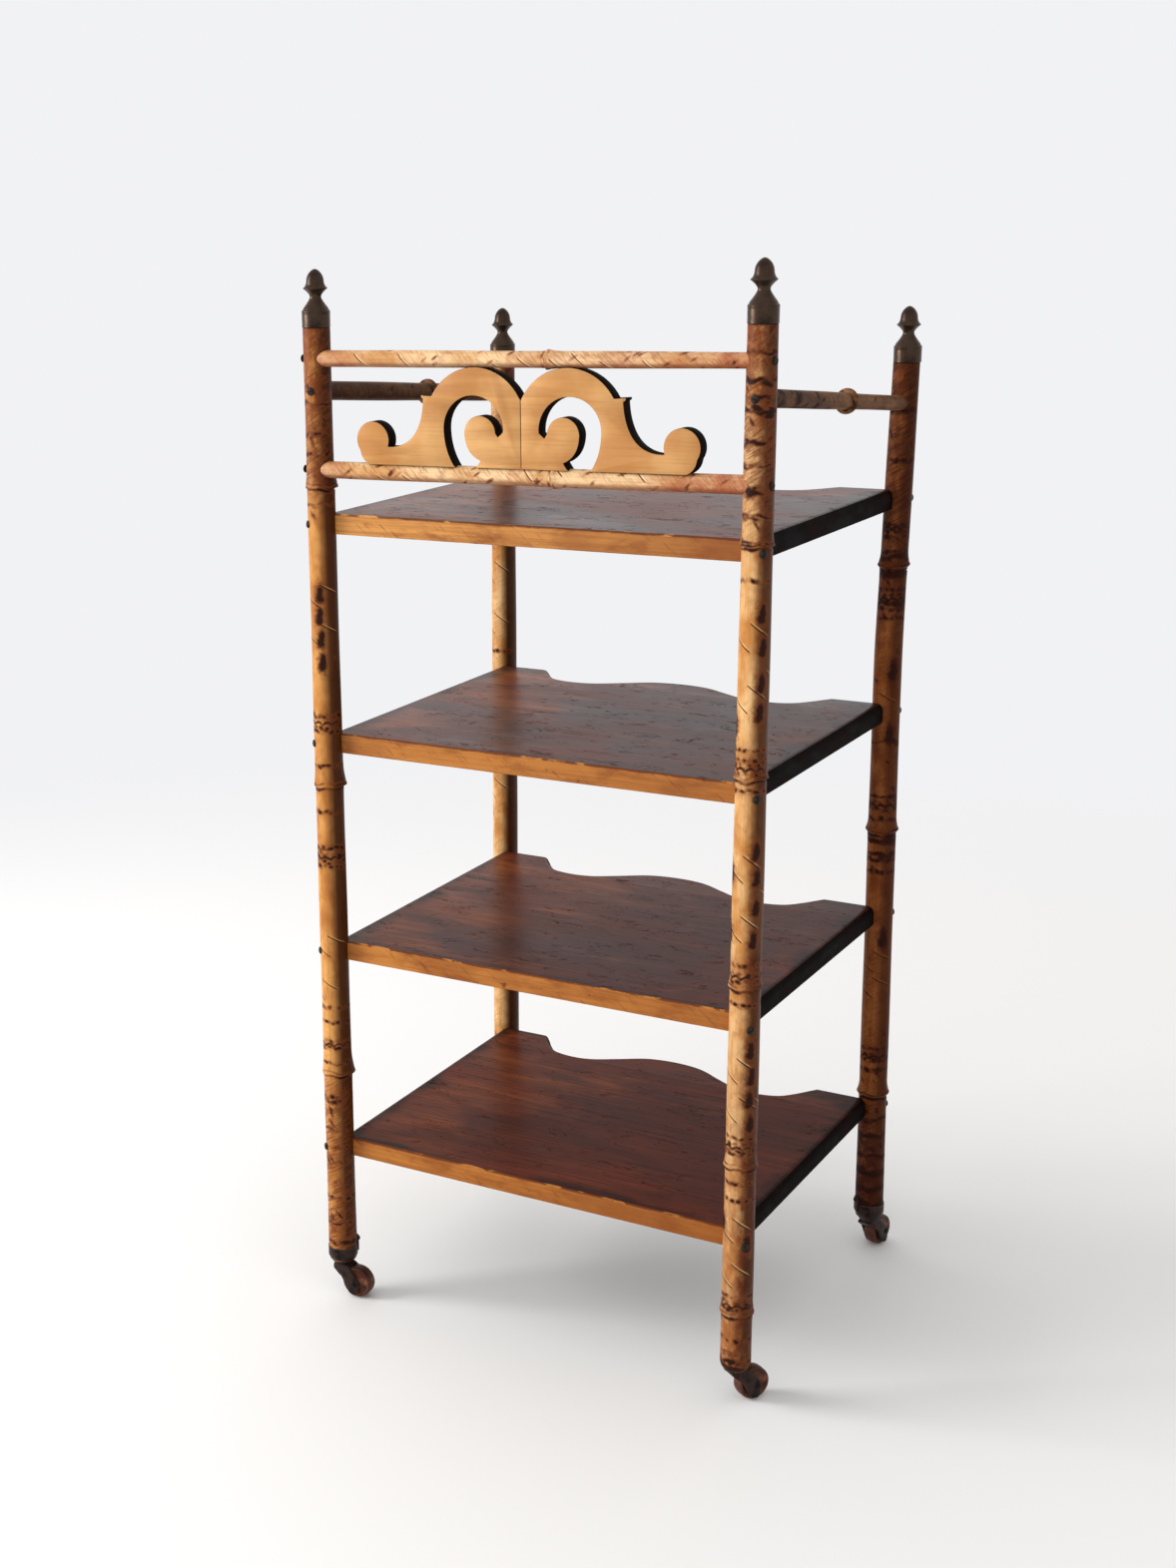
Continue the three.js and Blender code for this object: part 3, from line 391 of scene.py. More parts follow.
def fretFinish(name, look):
    wire = newFinish(name)
    figure = wire.use("boardGrain", Vector=wire.place, Long=2.2, Wide=16.0, Bands=5.0, Sway=2.2)
    fibre = wire.noise(wire.stretch(wire.place, 18, 420, 420), 1.0, 4.0, 0.6)
    cloud = wire.noise(wire.place, 16.0, 3.0)
    specks = wire.use("tarnish", Vector=wire.place, Scale=170.0, Cover=0.69, Soft=0.05)
    face = wire.coats(
        look["light"],
        (wire.between(cloud, 0.35, 0.65), look["warm"]),
        (wire.times(figure, 0.22), look["line"]),
        (wire.between(fibre, 0.45, 0.75, 0.0, 0.3), look["line"]),
        (wire.times(wire.painted("knot"), 0.75, clamp=True), look["knot"]),
        (wire.times(specks, 0.5), look["knot"]))
    return wire.finishWith(face, wire.plus(wire.times(cloud, 0.2), 0.32), wire.times(fibre, 0.5), 0.2, 0.4 * mm, 0.16)


def metalFinish(name, look):
    wire = newFinish(name)
    clouds = wire.use("tarnish", Vector=wire.place, Scale=look["scale"], Cover=0.42, Soft=0.25)
    specks = wire.use("tarnish", Vector=wire.place, Scale=look["scale"] * 6, Cover=0.6, Soft=0.08)
    rubbed = wire.use("wornArris", Edge=wire.painted("arris"), Vector=wire.place, Scale=200.0, Amount=0.1)
    skin = wire.coats(
        look["bare"],
        (clouds, look["dark"]),
        (wire.times(specks, 0.6), look["speck"]),
        (wire.times(rubbed, 0.7), look["rubbed"]))
    dull = wire.plus(wire.times(clouds, 0.2), look["gloss"])
    metal = wire.minus(look["metal"], wire.times(specks, 0.4), clamp=True)
    relief = wire.noise(wire.place, look["scale"] * 9, 3.0)
    return wire.finishWith(skin, dull, relief, 0.12, 0.3 * mm, look["shine"], metal)


def wheelFinish(name, look):
    wire = newFinish(name)
    rings = wire.noise(wire.stretch(wire.place, 60, 900, 60), 1.0, 3.0, 0.6)
    cloud = wire.noise(wire.place, 110.0, 3.0)
    skin = wire.coats(
        look["brown"],
        (wire.between(rings, 0.35, 0.65), look["dark"]),
        (wire.between(cloud, 0.52, 0.7, 0.0, 0.5), look["pale"]))
    return wire.finishWith(skin, wire.between(cloud, 0.3, 0.7, 0.38, 0.6), rings, 0.3, 0.4 * mm, 0.2)


shelfFinishes = {name: shelfFinish(f"{name}_varnish", {**shelfLook, **own}) for name, own in shelfLooks.items()}
honeyMaple = fretFinish("honeyMaple", {
    "light": (0.66, 0.36, 0.135), "warm": (0.52, 0.235, 0.068), "line": (0.3, 0.1, 0.026),
    "knot": (0.26, 0.075, 0.035)})
shelfEdge = edgeFinish("nearBlackShelfEdge", black=(0.004, 0.002, 0.002), brown=(0.014, 0.006, 0.005))
fretEdge = edgeFinish("nearBlackFretEdge", black=(0.005, 0.003, 0.002), brown=(0.022, 0.009, 0.006))
bronze = metalFinish("darkBronze", {
    "bare": (0.06, 0.037, 0.024), "dark": (0.022, 0.013, 0.01), "speck": (0.042, 0.026, 0.016),
    "rubbed": (0.2, 0.14, 0.085), "scale": 45.0, "gloss": 0.26, "metal": 0.62, "shine": 0.12})
iron = metalFinish("darkIron", {
    "bare": (0.012, 0.009, 0.008), "dark": (0.004, 0.003, 0.003), "speck": (0.02, 0.011, 0.007),
    "rubbed": (0.05, 0.038, 0.03), "scale": 180.0, "gloss": 0.45, "metal": 0.3, "shine": 0.08})
castorBronze = metalFinish("castorBronze", {
    "bare": (0.036, 0.021, 0.017), "dark": (0.008, 0.005, 0.005), "speck": (0.028, 0.016, 0.011),
    "rubbed": (0.1, 0.065, 0.045), "scale": 90.0, "gloss": 0.34, "metal": 0.45, "shine": 0.12})
wheelWood = wheelFinish("turnedWheelWood", {
    "brown": (0.12, 0.034, 0.015), "dark": (0.03, 0.009, 0.005), "pale": (0.27, 0.11, 0.052)})
print("materials ready:", len(bpy.data.materials))

mesh = {"weld": 0.02 * mm, "sharp": 38.0}


def paintMask(shape, key, values):
    layer = shape.attributes.new(key, "FLOAT", "POINT")
    layer.data.foreach_set("value", np.asarray(values, np.float32).ravel())


def makeMesh(name, points, faces, material, masks=None, sharp=mesh["sharp"], edge=None, carve=None):
    shape = bpy.data.meshes.new(name)
    shape.from_pydata([tuple(point) for point in points], [], faces)
    for key, values in (masks or {}).items():
        paintMask(shape, key, values)
    work = bmesh.new()
    work.from_mesh(shape)
    if carve:
        carve(work)
    else:
        bmesh.ops.remove_doubles(work, verts=work.verts, dist=mesh["weld"])
    bmesh.ops.recalc_face_normals(work, faces=work.faces)
    work.to_mesh(shape)
    work.free()
    shape.polygons.foreach_set("use_smooth", [True] * len(shape.polygons))
    shape.set_sharp_from_angle(angle=math.radians(sharp))
    shape.materials.append(material)
    if edge:
        # the cut edges have a finish of their own
        shape.materials.append(edge[0])
        for polygon in shape.polygons:
            polygon.material_index = 1 if edge[1](polygon.normal) else 0
    return shape


def addPiece(name, shape, nodes, place=None, body="frame"):
    piece = bpy.data.objects.new(name, shape)
    bpy.context.scene.collection.objects.link(piece)
    if place is not None:
        piece.matrix_world = place
    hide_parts(*nodes)
    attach(piece, body)


def skinRings(rings, capped=True):
    # faces over rings of equally many points
    rings = np.asarray(rings, float)
    count, around = rings.shape[:2]
    level, spot = np.meshgrid(np.arange(count - 1), np.arange(around), indexing="ij")
    first, second = level * around + spot, level * around + (spot + 1) % around
    faces = np.stack([first, second, second + around, first + around], -1).reshape(-1, 4).tolist()
    if capped:
        faces.append(list(range(around))[::-1])
        faces.append(list(range((count - 1) * around, count * around)))
    return rings.reshape(-1, 3), faces


def spline(points, steps):
    # a Catmull-Rom curve through the points
    points = np.asarray(points, float)
    padded = np.vstack([2 * points[0] - points[1], points, 2 * points[-1] - points[-2]])
    curve = []
    for before, start, end, after in zip(padded, padded[1:], padded[2:], padded[3:]):
        for share in np.arange(steps) / steps:
            curve.append(0.5 * (2 * start + (end - before) * share
                                + (2 * before - 5 * start + 4 * end - after) * share ** 2
                                + (3 * start - before - 3 * end + after) * share ** 3))
    return np.array(curve + [points[-1]])


def evenly(points, count):
    # the same line with evenly spaced points
    points = np.asarray(points, float)
    lengths = np.r_[0, np.cumsum(np.linalg.norm(np.diff(points, axis=0), axis=1))]
    at = np.linspace(0, lengths[-1], count)
    return np.stack([np.interp(at, lengths, points[:, axis]) for axis in range(points.shape[1])], 1)


def lathe(profile, sides):
    # [radius, height] pairs in millimetres turned round local Z
    angles = np.arange(sides) / sides * fullTurn
    profile = np.asarray(profile, float) * mm
    return np.stack([profile[:, :1] * np.cos(angles), profile[:, :1] * np.sin(angles),
                     np.repeat(profile[:, 1:], sides, 1)], -1)


def gapTo(points, line):
    # distance from each point to an open line
    start, step = line[:-1], np.diff(line, axis=0)
    offset = points[:, None] - start[None]
    share = np.clip((offset * step[None]).sum(-1) / np.maximum((step ** 2).sum(-1), 1e-18), 0, 1)
    return np.linalg.norm(offset - share[..., None] * step[None], axis=-1).min(1)


def insetLine(line, inset, closed):
    # the line moved to its left, with the points that would cross gathered where they meet
    if inset <= 0:
        return line.copy()
    tangent = np.roll(line, -1, 0) - np.roll(line, 1, 0) if closed else np.gradient(line, axis=0)
    tangent /= np.linalg.norm(tangent, axis=1)[:, None]
    moved = line + inset * np.stack([-tangent[:, 1], tangent[:, 0]], 1)
    whole = np.vstack([line, line[:1]]) if closed else line
    bad = gapTo(moved, whole) < inset * 0.985
    count, spot = len(line), 0
    start = int(np.argmin(bad)) if closed else 0
    while spot < count:
        here = (start + spot) % count
        if not bad[here]:
            spot += 1
            continue
        run = 1
        while spot + run < count and bad[(start + spot + run) % count]:
            run += 1
        last, after = (start + spot - 1) % count, (start + spot + run) % count
        meet = (moved[last] + moved[after]) / 2 if closed or (spot > 0 and spot + run < count) else moved[here]
        for extra in range(run):
            moved[(start + spot + extra) % count] = meet
        spot += run
    return moved


cane = {
    "seed": 11, "groove": 0.55 * mm, "grooveAt": -1.2 * mm, "grooveWidth": 0.9 * mm, "wave": 0.16 * mm,
    "oval": 0.13 * mm, "quietEnds": 20 * mm, "nodeTilt": 0.5 * mm, "secondGroove": (0.22 * mm, 3.4 * mm, 0.7 * mm),
    "strokeReach": 10.0 * mm, "strokeWidth": 4 * mm, "strokeStep": (14 * mm, 62), "strokeStray": (-8, 8),
    # a node's shape: the swelling below it, and how its trumpet dies away above
    "rootSwell": 0.16, "rootReach": 4 * mm, "flareCurve": 2.3, "softRidge": 2 * mm,
    # scorched marks drawn at random: how many, and their size in millimetres, from and to
    "beadCount": (11, 15), "beadTall": (1.8, 3.0), "beadWide": (2.5, 4.0), "beadStray": 0.8 * mm,
    "smudgeCount": (5, 8), "smudgeWide": (4, 9), "smudgeStray": 1.6 * mm,
    "dabTall": (1.4, 3.4), "dabWide": (2.0, 4.4), "dabLean": (-1.4, -0.5),
    # a drop's dabs: rise in talls, turn, talls, wides, depth
    "dropTall": 11.0 * mm, "dropWide": 4.2 * mm,
    "drop": [(0, 0, 1, 1, 1.2), (-0.45, -0.05, 0.6, 1.25, 1.15), (-0.1, 0, 1.5, 2.0, 0.5)],
    # scorched rings at each node: rise and height in millimetres, depth
    "nodeBands": [(-0.8, 1.9, 1.0), (4.4, 1.3, 0.6)],
    "masks": ("burn", "loops", "flecks", "stain", "shadeSide", "strokeFade", "strokeAcross"),
    # rings along a cane, closer at its nodes, and points round it
    "postStep": 1.3 * mm, "railStep": 1.5 * mm, "nearNode": np.arange(-4, 9, 0.6) * mm,
    "postSides": 64, "railSides": 48,
}


def nodeRise(distance, swell, flare, ridge):
    # ring groove, ridge, then a trumpet that dies away above it
    rise = np.clip(distance / ridge, 0, 1)
    rise = rise * rise * (3 - 2 * rise) if ridge > cane["softRidge"] else rise
    fade = np.clip((distance - ridge) / flare, 0, 1)
    root = cane["rootSwell"] * np.exp(distance / cane["rootReach"])
    bulge = swell * np.where(distance < 0, root, rise * (1 - fade) ** cane["flareCurve"])
    deep, above, wide = cane["secondGroove"]
    grooves = cane["groove"] * np.exp(-((distance - cane["grooveAt"]) / cane["grooveWidth"]) ** 2)
    return bulge - grooves - deep * np.exp(-((distance - ridge - above) / wide) ** 2)


class canePaint:
    # masks on a grid of heights and angles
    def __init__(self, z, angle, radius, chance):
        self.z, self.angle, self.radius, self.chance = z, angle, radius, chance
        self.masks = {name: np.zeros(np.broadcast(z, angle).shape) for name in cane["masks"]}

    def burn(self, amount):
        np.maximum(self.masks["burn"], amount, out=self.masks["burn"])

    def around(self, at):
        return ((self.angle - at + math.pi) % fullTurn - math.pi) * self.radius

    def dab(self, height, at, tall, wide, depth, lean=0.0):
        off = self.around(at)
        self.burn(depth * np.exp(-(((self.z - height - lean * off) / tall) ** 2 + (off / wide) ** 2) ** 0.9))

    def drop(self, height, degrees):
        # pointed above, heavy below, with a soft scorched rim
        at = math.radians(degrees) + self.chance.normal(0, 0.05)
        for rise, turn, talls, wides, depth in cane["drop"]:
            self.dab(height + rise * cane["dropTall"], at + turn, talls * cane["dropTall"], wides * cane["dropWide"],
                     depth)

    def beadRow(self, height, dark=1.0):
        # short dark dashes on a faint ring
        count = int(self.chance.integers(*cane["beadCount"]))
        first = self.chance.uniform(0, fullTurn)
        for step in range(count):
            at = first + (step + self.chance.uniform(-0.3, 0.3)) / count * fullTurn
            self.dab(height + self.chance.normal(0, cane["beadStray"]), at,
                     self.chance.uniform(*cane["beadTall"]) * mm, self.chance.uniform(*cane["beadWide"]) * mm,
                     dark * self.chance.uniform(0.6, 1.25), self.chance.uniform(-0.5, 0.2))
        self.band(height - 0.6 * mm, 2.2 * mm, 0.42 * dark)

    def scallops(self, height):
        # two rows of beads joined by wavering arcs
        wave = self.chance.uniform(0, 6)
        line = height + 3.2 * mm * np.abs(np.sin(4.5 * self.angle + wave)) - 1.5 * mm
        self.burn(0.95 * np.exp(-((self.z - line) / (1.6 * mm)) ** 2))
        self.beadRow(height - 3.5 * mm, 0.9)
        self.beadRow(height + 4.5 * mm, 0.75)

    def smudges(self, height, tall, depth):
        # a broad scorched ring, heavier in places
        for _ in range(int(self.chance.integers(*cane["smudgeCount"]))):
            self.dab(height + self.chance.normal(0, cane["smudgeStray"]), self.chance.uniform(0, fullTurn),
                     tall * self.chance.uniform(0.7, 1.3), self.chance.uniform(*cane["smudgeWide"]) * mm,
                     depth * self.chance.uniform(0.7, 1.2), self.chance.uniform(-0.4, 0.2))
        self.band(height, tall * 0.75, depth * 1.05)

    def band(self, height, tall, depth):
        wobble = 1.4 * mm * np.sin(2 * self.angle + height * 90) + 0.8 * mm * np.sin(5 * self.angle + height * 57)
        uneven = 0.75 + 0.25 * np.sin(3 * self.angle + height * 131)
        self.burn(depth * uneven * np.exp(-((self.z - height - wobble) / tall) ** 2))

    def strokes(self, height, degrees, slope):
        # knife strokes: how far each point is across the nearest one, and how strongly it shows there
        off = self.around(math.radians(degrees))
        lean = math.atan(slope)
        along = off * math.cos(lean) + (self.z - height) * math.sin(lean)
        across = -off * math.sin(lean) + (self.z - height) * math.cos(lean)
        fade = np.exp(-(along / cane["strokeReach"]) ** 4) * np.exp(-(across / cane["strokeWidth"]) ** 4)
        better = fade > self.masks["strokeFade"]
        self.masks["strokeFade"] = np.where(better, fade, self.masks["strokeFade"])
        self.masks["strokeAcross"] = np.where(better, across / mm, self.masks["strokeAcross"])

    def zone(self, name, stops):
        heights, shares = np.array(stops).T
        self.masks[name] += np.interp(self.z, heights, shares)

    def side(self, name, degrees, depth, reach):
        # painted shade: darker on the side of the cane away from the light
        turn = np.cos(self.angle - math.radians(degrees))
        lobe = np.clip((turn - reach) / (1 - reach) * 2.2, 0, 1)
        self.masks[name] = np.clip(self.masks[name] + depth * lobe, 0, 1)


def paintCane(z, angle, knots, look, chance):
    # the marks of one cane, from its own lists
    paint = canePaint(z, angle, look.get("paintRadius", 14) * mm, chance)
    for degrees, heights in look.get("drops", []):
        for height in heights:
            paint.drop(height, degrees)
    for height in look.get("dashes", []):
        paint.beadRow(height)
    for height in look.get("spots", []):
        paint.scallops(height)
    for height, tall, depth in look.get("bands", []):
        paint.smudges(height, tall * mm, depth)
    for height, *_ in knots:
        for rise, tall, depth in cane["nodeBands"]:
            paint.band(height + rise * mm, tall * mm, look.get("knotDark", 1.0) * depth)
    for low, high, count, depth in look.get("dabs", []):
        for _ in range(count):
            paint.dab(chance.uniform(low, high), chance.uniform(0, fullTurn), chance.uniform(*cane["dabTall"]) * mm,
                      chance.uniform(*cane["dabWide"]) * mm, depth * chance.uniform(0.6, 1.2),
                      chance.uniform(*cane["dabLean"]))
    lower, turn = cane["strokeStep"]
    for degrees, heights in look.get("strokes", []):
        for height in heights:
            paint.strokes(height, degrees + chance.uniform(*cane["strokeStray"]), look["slope"])
            paint.strokes(height - lower, degrees - turn, look["slope"])
    for low, high, count, fromDegrees, toDegrees in look.get("scatter", []):
        for _ in range(count):
            paint.strokes(chance.uniform(low, high), chance.uniform(fromDegrees, toDegrees),
                          look["slope"] * chance.uniform(0.8, 1.3))
    for key in ("stain", "flecks", "loops"):
        if key in look:
            paint.zone(key, look[key])
    for key, degrees, depth, reach in look.get("sides", []):
        paint.side(key, degrees, depth, reach)
    return paint.masks


def buildCane(name, place, stations, radiusAt, knots, look, middleAt=None, sides=cane["postSides"]):
    # knots are [height, swell, flare, branch]
    chance = np.random.default_rng(cane["seed"] + sum(map(ord, f"{name}_cane")))
    angle = (np.arange(sides) / sides * fullTurn)[None]
    z = np.unique(np.round(stations, 6))[:, None]
    radius = radiusAt(z) + 0 * angle
    lift = np.zeros_like(z)
    ridge = look.get("ridge", 1.2) * mm
    for height, swell, flare, branch in knots:
        tilt = cane["nodeTilt"] * np.cos(angle + height * 40)
        radius = radius + nodeRise(z - height - tilt, swell, flare, ridge)
        lift = lift + nodeRise(z - height, branch, flare, ridge)
    quiet = np.minimum(1, (z - z.min()) / cane["quietEnds"]) * np.minimum(1, (z.max() - z) / cane["quietEnds"])
    wave = cane["wave"] * np.sin(z * 31 + chance.uniform(0, 6))
    radius = radius + quiet * (wave + cane["oval"] * np.cos(2 * angle + z * 5 + chance.uniform(0, 6)))
    middle = middleAt(z) if middleAt else 0 * z
    rings = np.stack([radius * np.cos(angle) + middle + lift, radius * np.sin(angle) + 0 * z, z + 0 * angle], -1)
    masks = paintCane(z, angle, knots, look, chance)
    shape = makeMesh(f"{name}_cane", *skinRings(rings), caneFinishes[look["finish"]], masks)
    addPiece(f"{name}_cane", shape, [look["node"]], place)


posts = {
    "footRadius": 15.7 * mm, "tipRadius": 13.6 * mm, "bow": 3.2 * mm, "kinkShare": 0.67, "kinkRound": 0.06,
    "ferruleTop": 58 * mm, "spigot": 14.5 * mm, "tip": 11.9 * mm, "bareFoot": 12.4 * mm, "bareHeight": 9 * mm,
    "capSeat": 0.4 * mm,
    # knots are shares of the height, shape is a node's swelling, flare and lean in millimetres; marks are by height
    "corners": {
        # sides paint shade on the side of a post away from the light: mask, degrees, depth and reach
        "back_left": {
            "finish": "speckledCane", "knots": [0.216, 0.53, 0.831], "shape": (2.6, 28, 1.3), "slope": -0.55,
            "sides": [("shadeSide", 33, 0.94, -0.25), ("stain", -10, 0.3, 0.1)],
            "stain": [(0.03, 0.4), (0.24, 0.4), (0.27, 0.05), (0.33, 0.0), (0.86, 0.05), (0.9, 0.7), (1.06, 1.0)],
            "flecks": [(0.05, 0.9), (0.24, 0.8), (0.27, 0.2), (0.32, 0.0), (0.6, 0.0), (0.61, 0.35), (0.62, 0.0),
                       (0.88, 0.0), (0.91, 0.8), (1.06, 0.8)],
            "drops": [(-72, [0.79, 0.768, 0.744, 0.72]), (150, [0.76, 0.7, 0.46, 0.41])],
            "dabs": [(0.9, 1.05, 30, 0.9), (0.06, 0.25, 56, 0.95), (0.7, 0.8, 8, 0.8), (0.86, 0.9, 4, 0.8)],
            "bands": [(0.065, 3, 0.9), (0.09, 2.5, 0.8), (0.2, 2.5, 0.7), (0.235, 3, 0.8), (0.52, 3, 0.7),
                      (0.98, 3, 0.8), (0.95, 3, 0.7), (0.88, 2.5, 0.6)],
            "dashes": [0.663, 0.647, 0.521, 0.511, 0.5, 0.343, 0.326, 0.28, 0.61, 0.56, 0.24, 0.18, 0.12, 0.93],
            "spots": [0.655, 0.51, 0.3],
            "loops": [(0.2, 0.0), (0.22, 0.5), (0.25, 0.5), (0.28, 0.0), (0.6, 0.0), (0.61, 0.4), (0.63, 0.4),
                      (0.64, 0.0)],
            "strokes": [(-45, [0.795, 0.755, 0.42]), (-80, [0.37])],
        },
        "back_right": {
            "finish": "goldenCane", "knots": [0.06, 0.213, 0.392, 0.589, 0.797], "shape": (1.9, 14, 0),
            "slope": -0.8, "sides": [("shadeSide", 24, 0.88, -0.1), ("stain", 10, 0.5, -0.1)],
            "dabs": [(0.86, 1.055, 30, 1.0), (0.04, 0.13, 10, 0.8), (0.036, 0.056, 16, 1.1)],
            "stain": [(0.038, 1.0), (0.055, 0.8), (0.1, 0.65), (0.3, 0.5), (0.42, 0.2), (0.45, 0.6), (0.47, 0.55),
                      (0.49, 0.15), (0.63, 0.1), (0.65, 0.55), (0.67, 0.5), (0.69, 0.05), (0.84, 0.1), (0.87, 0.3),
                      (0.95, 0.6), (1.0, 0.8), (1.06, 1.1)],
            "flecks": [(0.04, 0.3), (0.1, 0.1), (0.12, 0.0), (0.85, 0.0), (0.9, 0.5), (0.95, 0.8), (1.06, 0.9)],
            "drops": [(-37, [0.806, 0.776, 0.743, 0.715, 0.583, 0.557, 0.528, 0.496, 0.385, 0.358, 0.334, 0.309,
                             0.181]),
                      (95, [0.79, 0.74, 0.6, 0.54, 0.49, 0.33, 0.17]), (-150, [0.7, 0.56, 0.5, 0.2])],
            "dashes": [0.835, 0.293, 0.245, 0.227, 0.123, 0.678, 0.669, 0.64, 0.469, 0.43, 0.275, 0.1, 0.075, 0.11],
            "spots": [0.66, 0.457, 0.282, 0.112],
            "bands": [(0.041, 4.5, 1.3), (0.05, 3.5, 1.0), (0.868, 1.8, 0.9), (0.893, 2.6, 0.9), (0.915, 4.2, 1.1),
                      (0.937, 2.2, 0.8), (0.957, 3.2, 1.05), (0.985, 3.2, 1.1), (0.998, 2.4, 0.9),
                      (1.012, 3.6, 1.1), (1.036, 2.6, 0.95), (0.06, 2.6, 0.6)],
            "loops": [(0.08, 0.0), (0.09, 0.7), (0.12, 0.7), (0.13, 0.0), (0.27, 0.0), (0.275, 0.6), (0.29, 0.6),
                      (0.295, 0.0), (0.45, 0.0), (0.455, 0.8), (0.47, 0.8), (0.475, 0.0), (0.64, 0.0), (0.65, 0.8),
                      (0.67, 0.8), (0.68, 0.0), (0.89, 0.0), (0.92, 0.9), (1.06, 0.9)],
            "strokes": [(-55, [0.791, 0.734, 0.572, 0.513, 0.37, 0.33, 0.202, 0.153]), (80, [0.76, 0.55, 0.34])],
        },
        "front_left": {
            "finish": "goldenCane", "knots": [0.07, 0.313, 0.601, 0.891], "shape": (1.9, 14, 0), "slope": -0.7,
            "sides": [("shadeSide", 28, 0.97, -0.3)],
            "stain": [(0.04, 0.2), (0.2, 0.1), (0.84, 0.1), (0.87, 0.5), (1.0, 0.6)],
            "flecks": [(0.04, 0.2), (0.9, 0.2), (0.95, 0.8)],
            "drops": [(100, [0.8, 0.55, 0.3])], "dashes": [0.66, 0.38, 0.36, 0.13], "spots": [0.345],
            "strokes": [(-80, [0.8, 0.76, 0.7, 0.56, 0.5, 0.33, 0.28])], "dabs": [(0.1, 0.9, 20, 0.6)],
        },
        "front_right": {
            "finish": "darkCane", "knots": [0.152, 0.468, 0.765], "shape": (2.7, 15, 0), "slope": -0.55,
            "ridge": 4.5, "knotDark": 1.1, "sides": [("shadeSide", 19, 0.78, -0.15)],
            "dabs": [(0.05, 0.2, 26, 0.9), (0.2, 1.0, 60, 0.75)],
            "stain": [(0.04, 1.0), (0.13, 0.9), (0.2, 0.35), (0.45, 0.25), (0.6, 0.15), (0.78, 0.4), (0.86, 0.7),
                      (1.0, 0.8)],
            "flecks": [(0.04, 0.5), (0.17, 0.5), (0.2, 0.2), (0.75, 0.2), (0.85, 0.6), (1.0, 0.7)],
            "drops": [(-50, [0.68, 0.61, 0.38]), (120, [0.7, 0.5, 0.3])],
            "dashes": [0.82, 0.805, 0.765, 0.745, 0.735, 0.54, 0.515, 0.47, 0.455, 0.25, 0.225, 0.9],
            "bands": [(0.8, 3.5, 1.0), (0.782, 4.5, 1.1), (0.75, 3.2, 1.0), (0.6, 2, 0.7), (0.49, 4, 1.1),
                      (0.475, 3, 1.0), (0.165, 3, 0.9), (0.145, 3, 1.0), (0.12, 4, 1.0), (0.1, 4, 1.1),
                      (0.08, 5, 1.1), (0.06, 6, 1.2), (0.95, 2.5, 0.8), (0.9, 2.5, 0.6)],
            "spots": [0.83, 0.53, 0.24, 0.755], "loops": [(0.04, 0.4), (1.0, 0.4)],
            "strokes": [(-60, [0.65, 0.36, 0.33])],
        },
    },
}

feet = {corner: jointAt[f"{corner}_swivel"] for corner in posts["corners"]}
caps = {corner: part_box(f"{corner}_finial") for corner in posts["corners"]}
axes = {corner: feet[corner].copy() for corner in posts["corners"]}
axes["front_right"].x -= posts["bow"]


def leanAt(z, low, high):
    # the crooked post leans both ways from its kink
    share, kink = (z - low) / (high - low), posts["kinkShare"]
    rise = np.where(share < kink, 1 - share / kink, (share - kink) / (1 - kink))
    bend = np.sqrt(rise ** 2 + posts["kinkRound"] ** 2) - posts["kinkRound"]
    return posts["bow"] * (2 * bend - 1)


def buildPost(corner, look):
    lowest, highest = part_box(f"{corner}_post")
    low, high, tipZ = lowest.z, highest.z, caps[corner][0].z - posts["capSeat"]
    knots = [[low + share * (high - low), *(size * mm for size in look["shape"])] for share in look["knots"]]
    crooked = corner == "front_right"

    def radiusAt(z):
        radius = posts["footRadius"] + (posts["tipRadius"] - posts["footRadius"]) * (z - low) / (high - low)
        if corner == "back_right":
            # this one has lost its cup, and its foot is worn
            short = np.clip(1 - (z - low) / posts["bareHeight"], 0, 1)
            radius = radius - (posts["footRadius"] - posts["bareFoot"]) * short ** 2
        else:
            radius = np.where(z < posts["ferruleTop"], posts["spigot"], radius)
        return np.where(z > tipZ, posts["tip"], radius)

    steps = [[height + offset * mm for offset in (-0.1, 0.1)] for height in (posts["ferruleTop"], tipZ)]
    stations = np.concatenate([np.arange(low, high, cane["postStep"]), [high],
                               *(height + cane["nearNode"] for height, *_ in knots), *steps])
    stations = stations[(stations >= low) & (stations <= high)]
    place = Matrix.Translation((axes[corner].x, axes[corner].y, 0))
    buildCane(corner, place, stations, radiusAt, knots,
              {**look, "node": f"{corner}_post"}, middleAt=(lambda z: leanAt(z, low, high)) if crooked else None)


for corner, look in posts["corners"].items():
    buildPost(corner, look)
print("posts built")

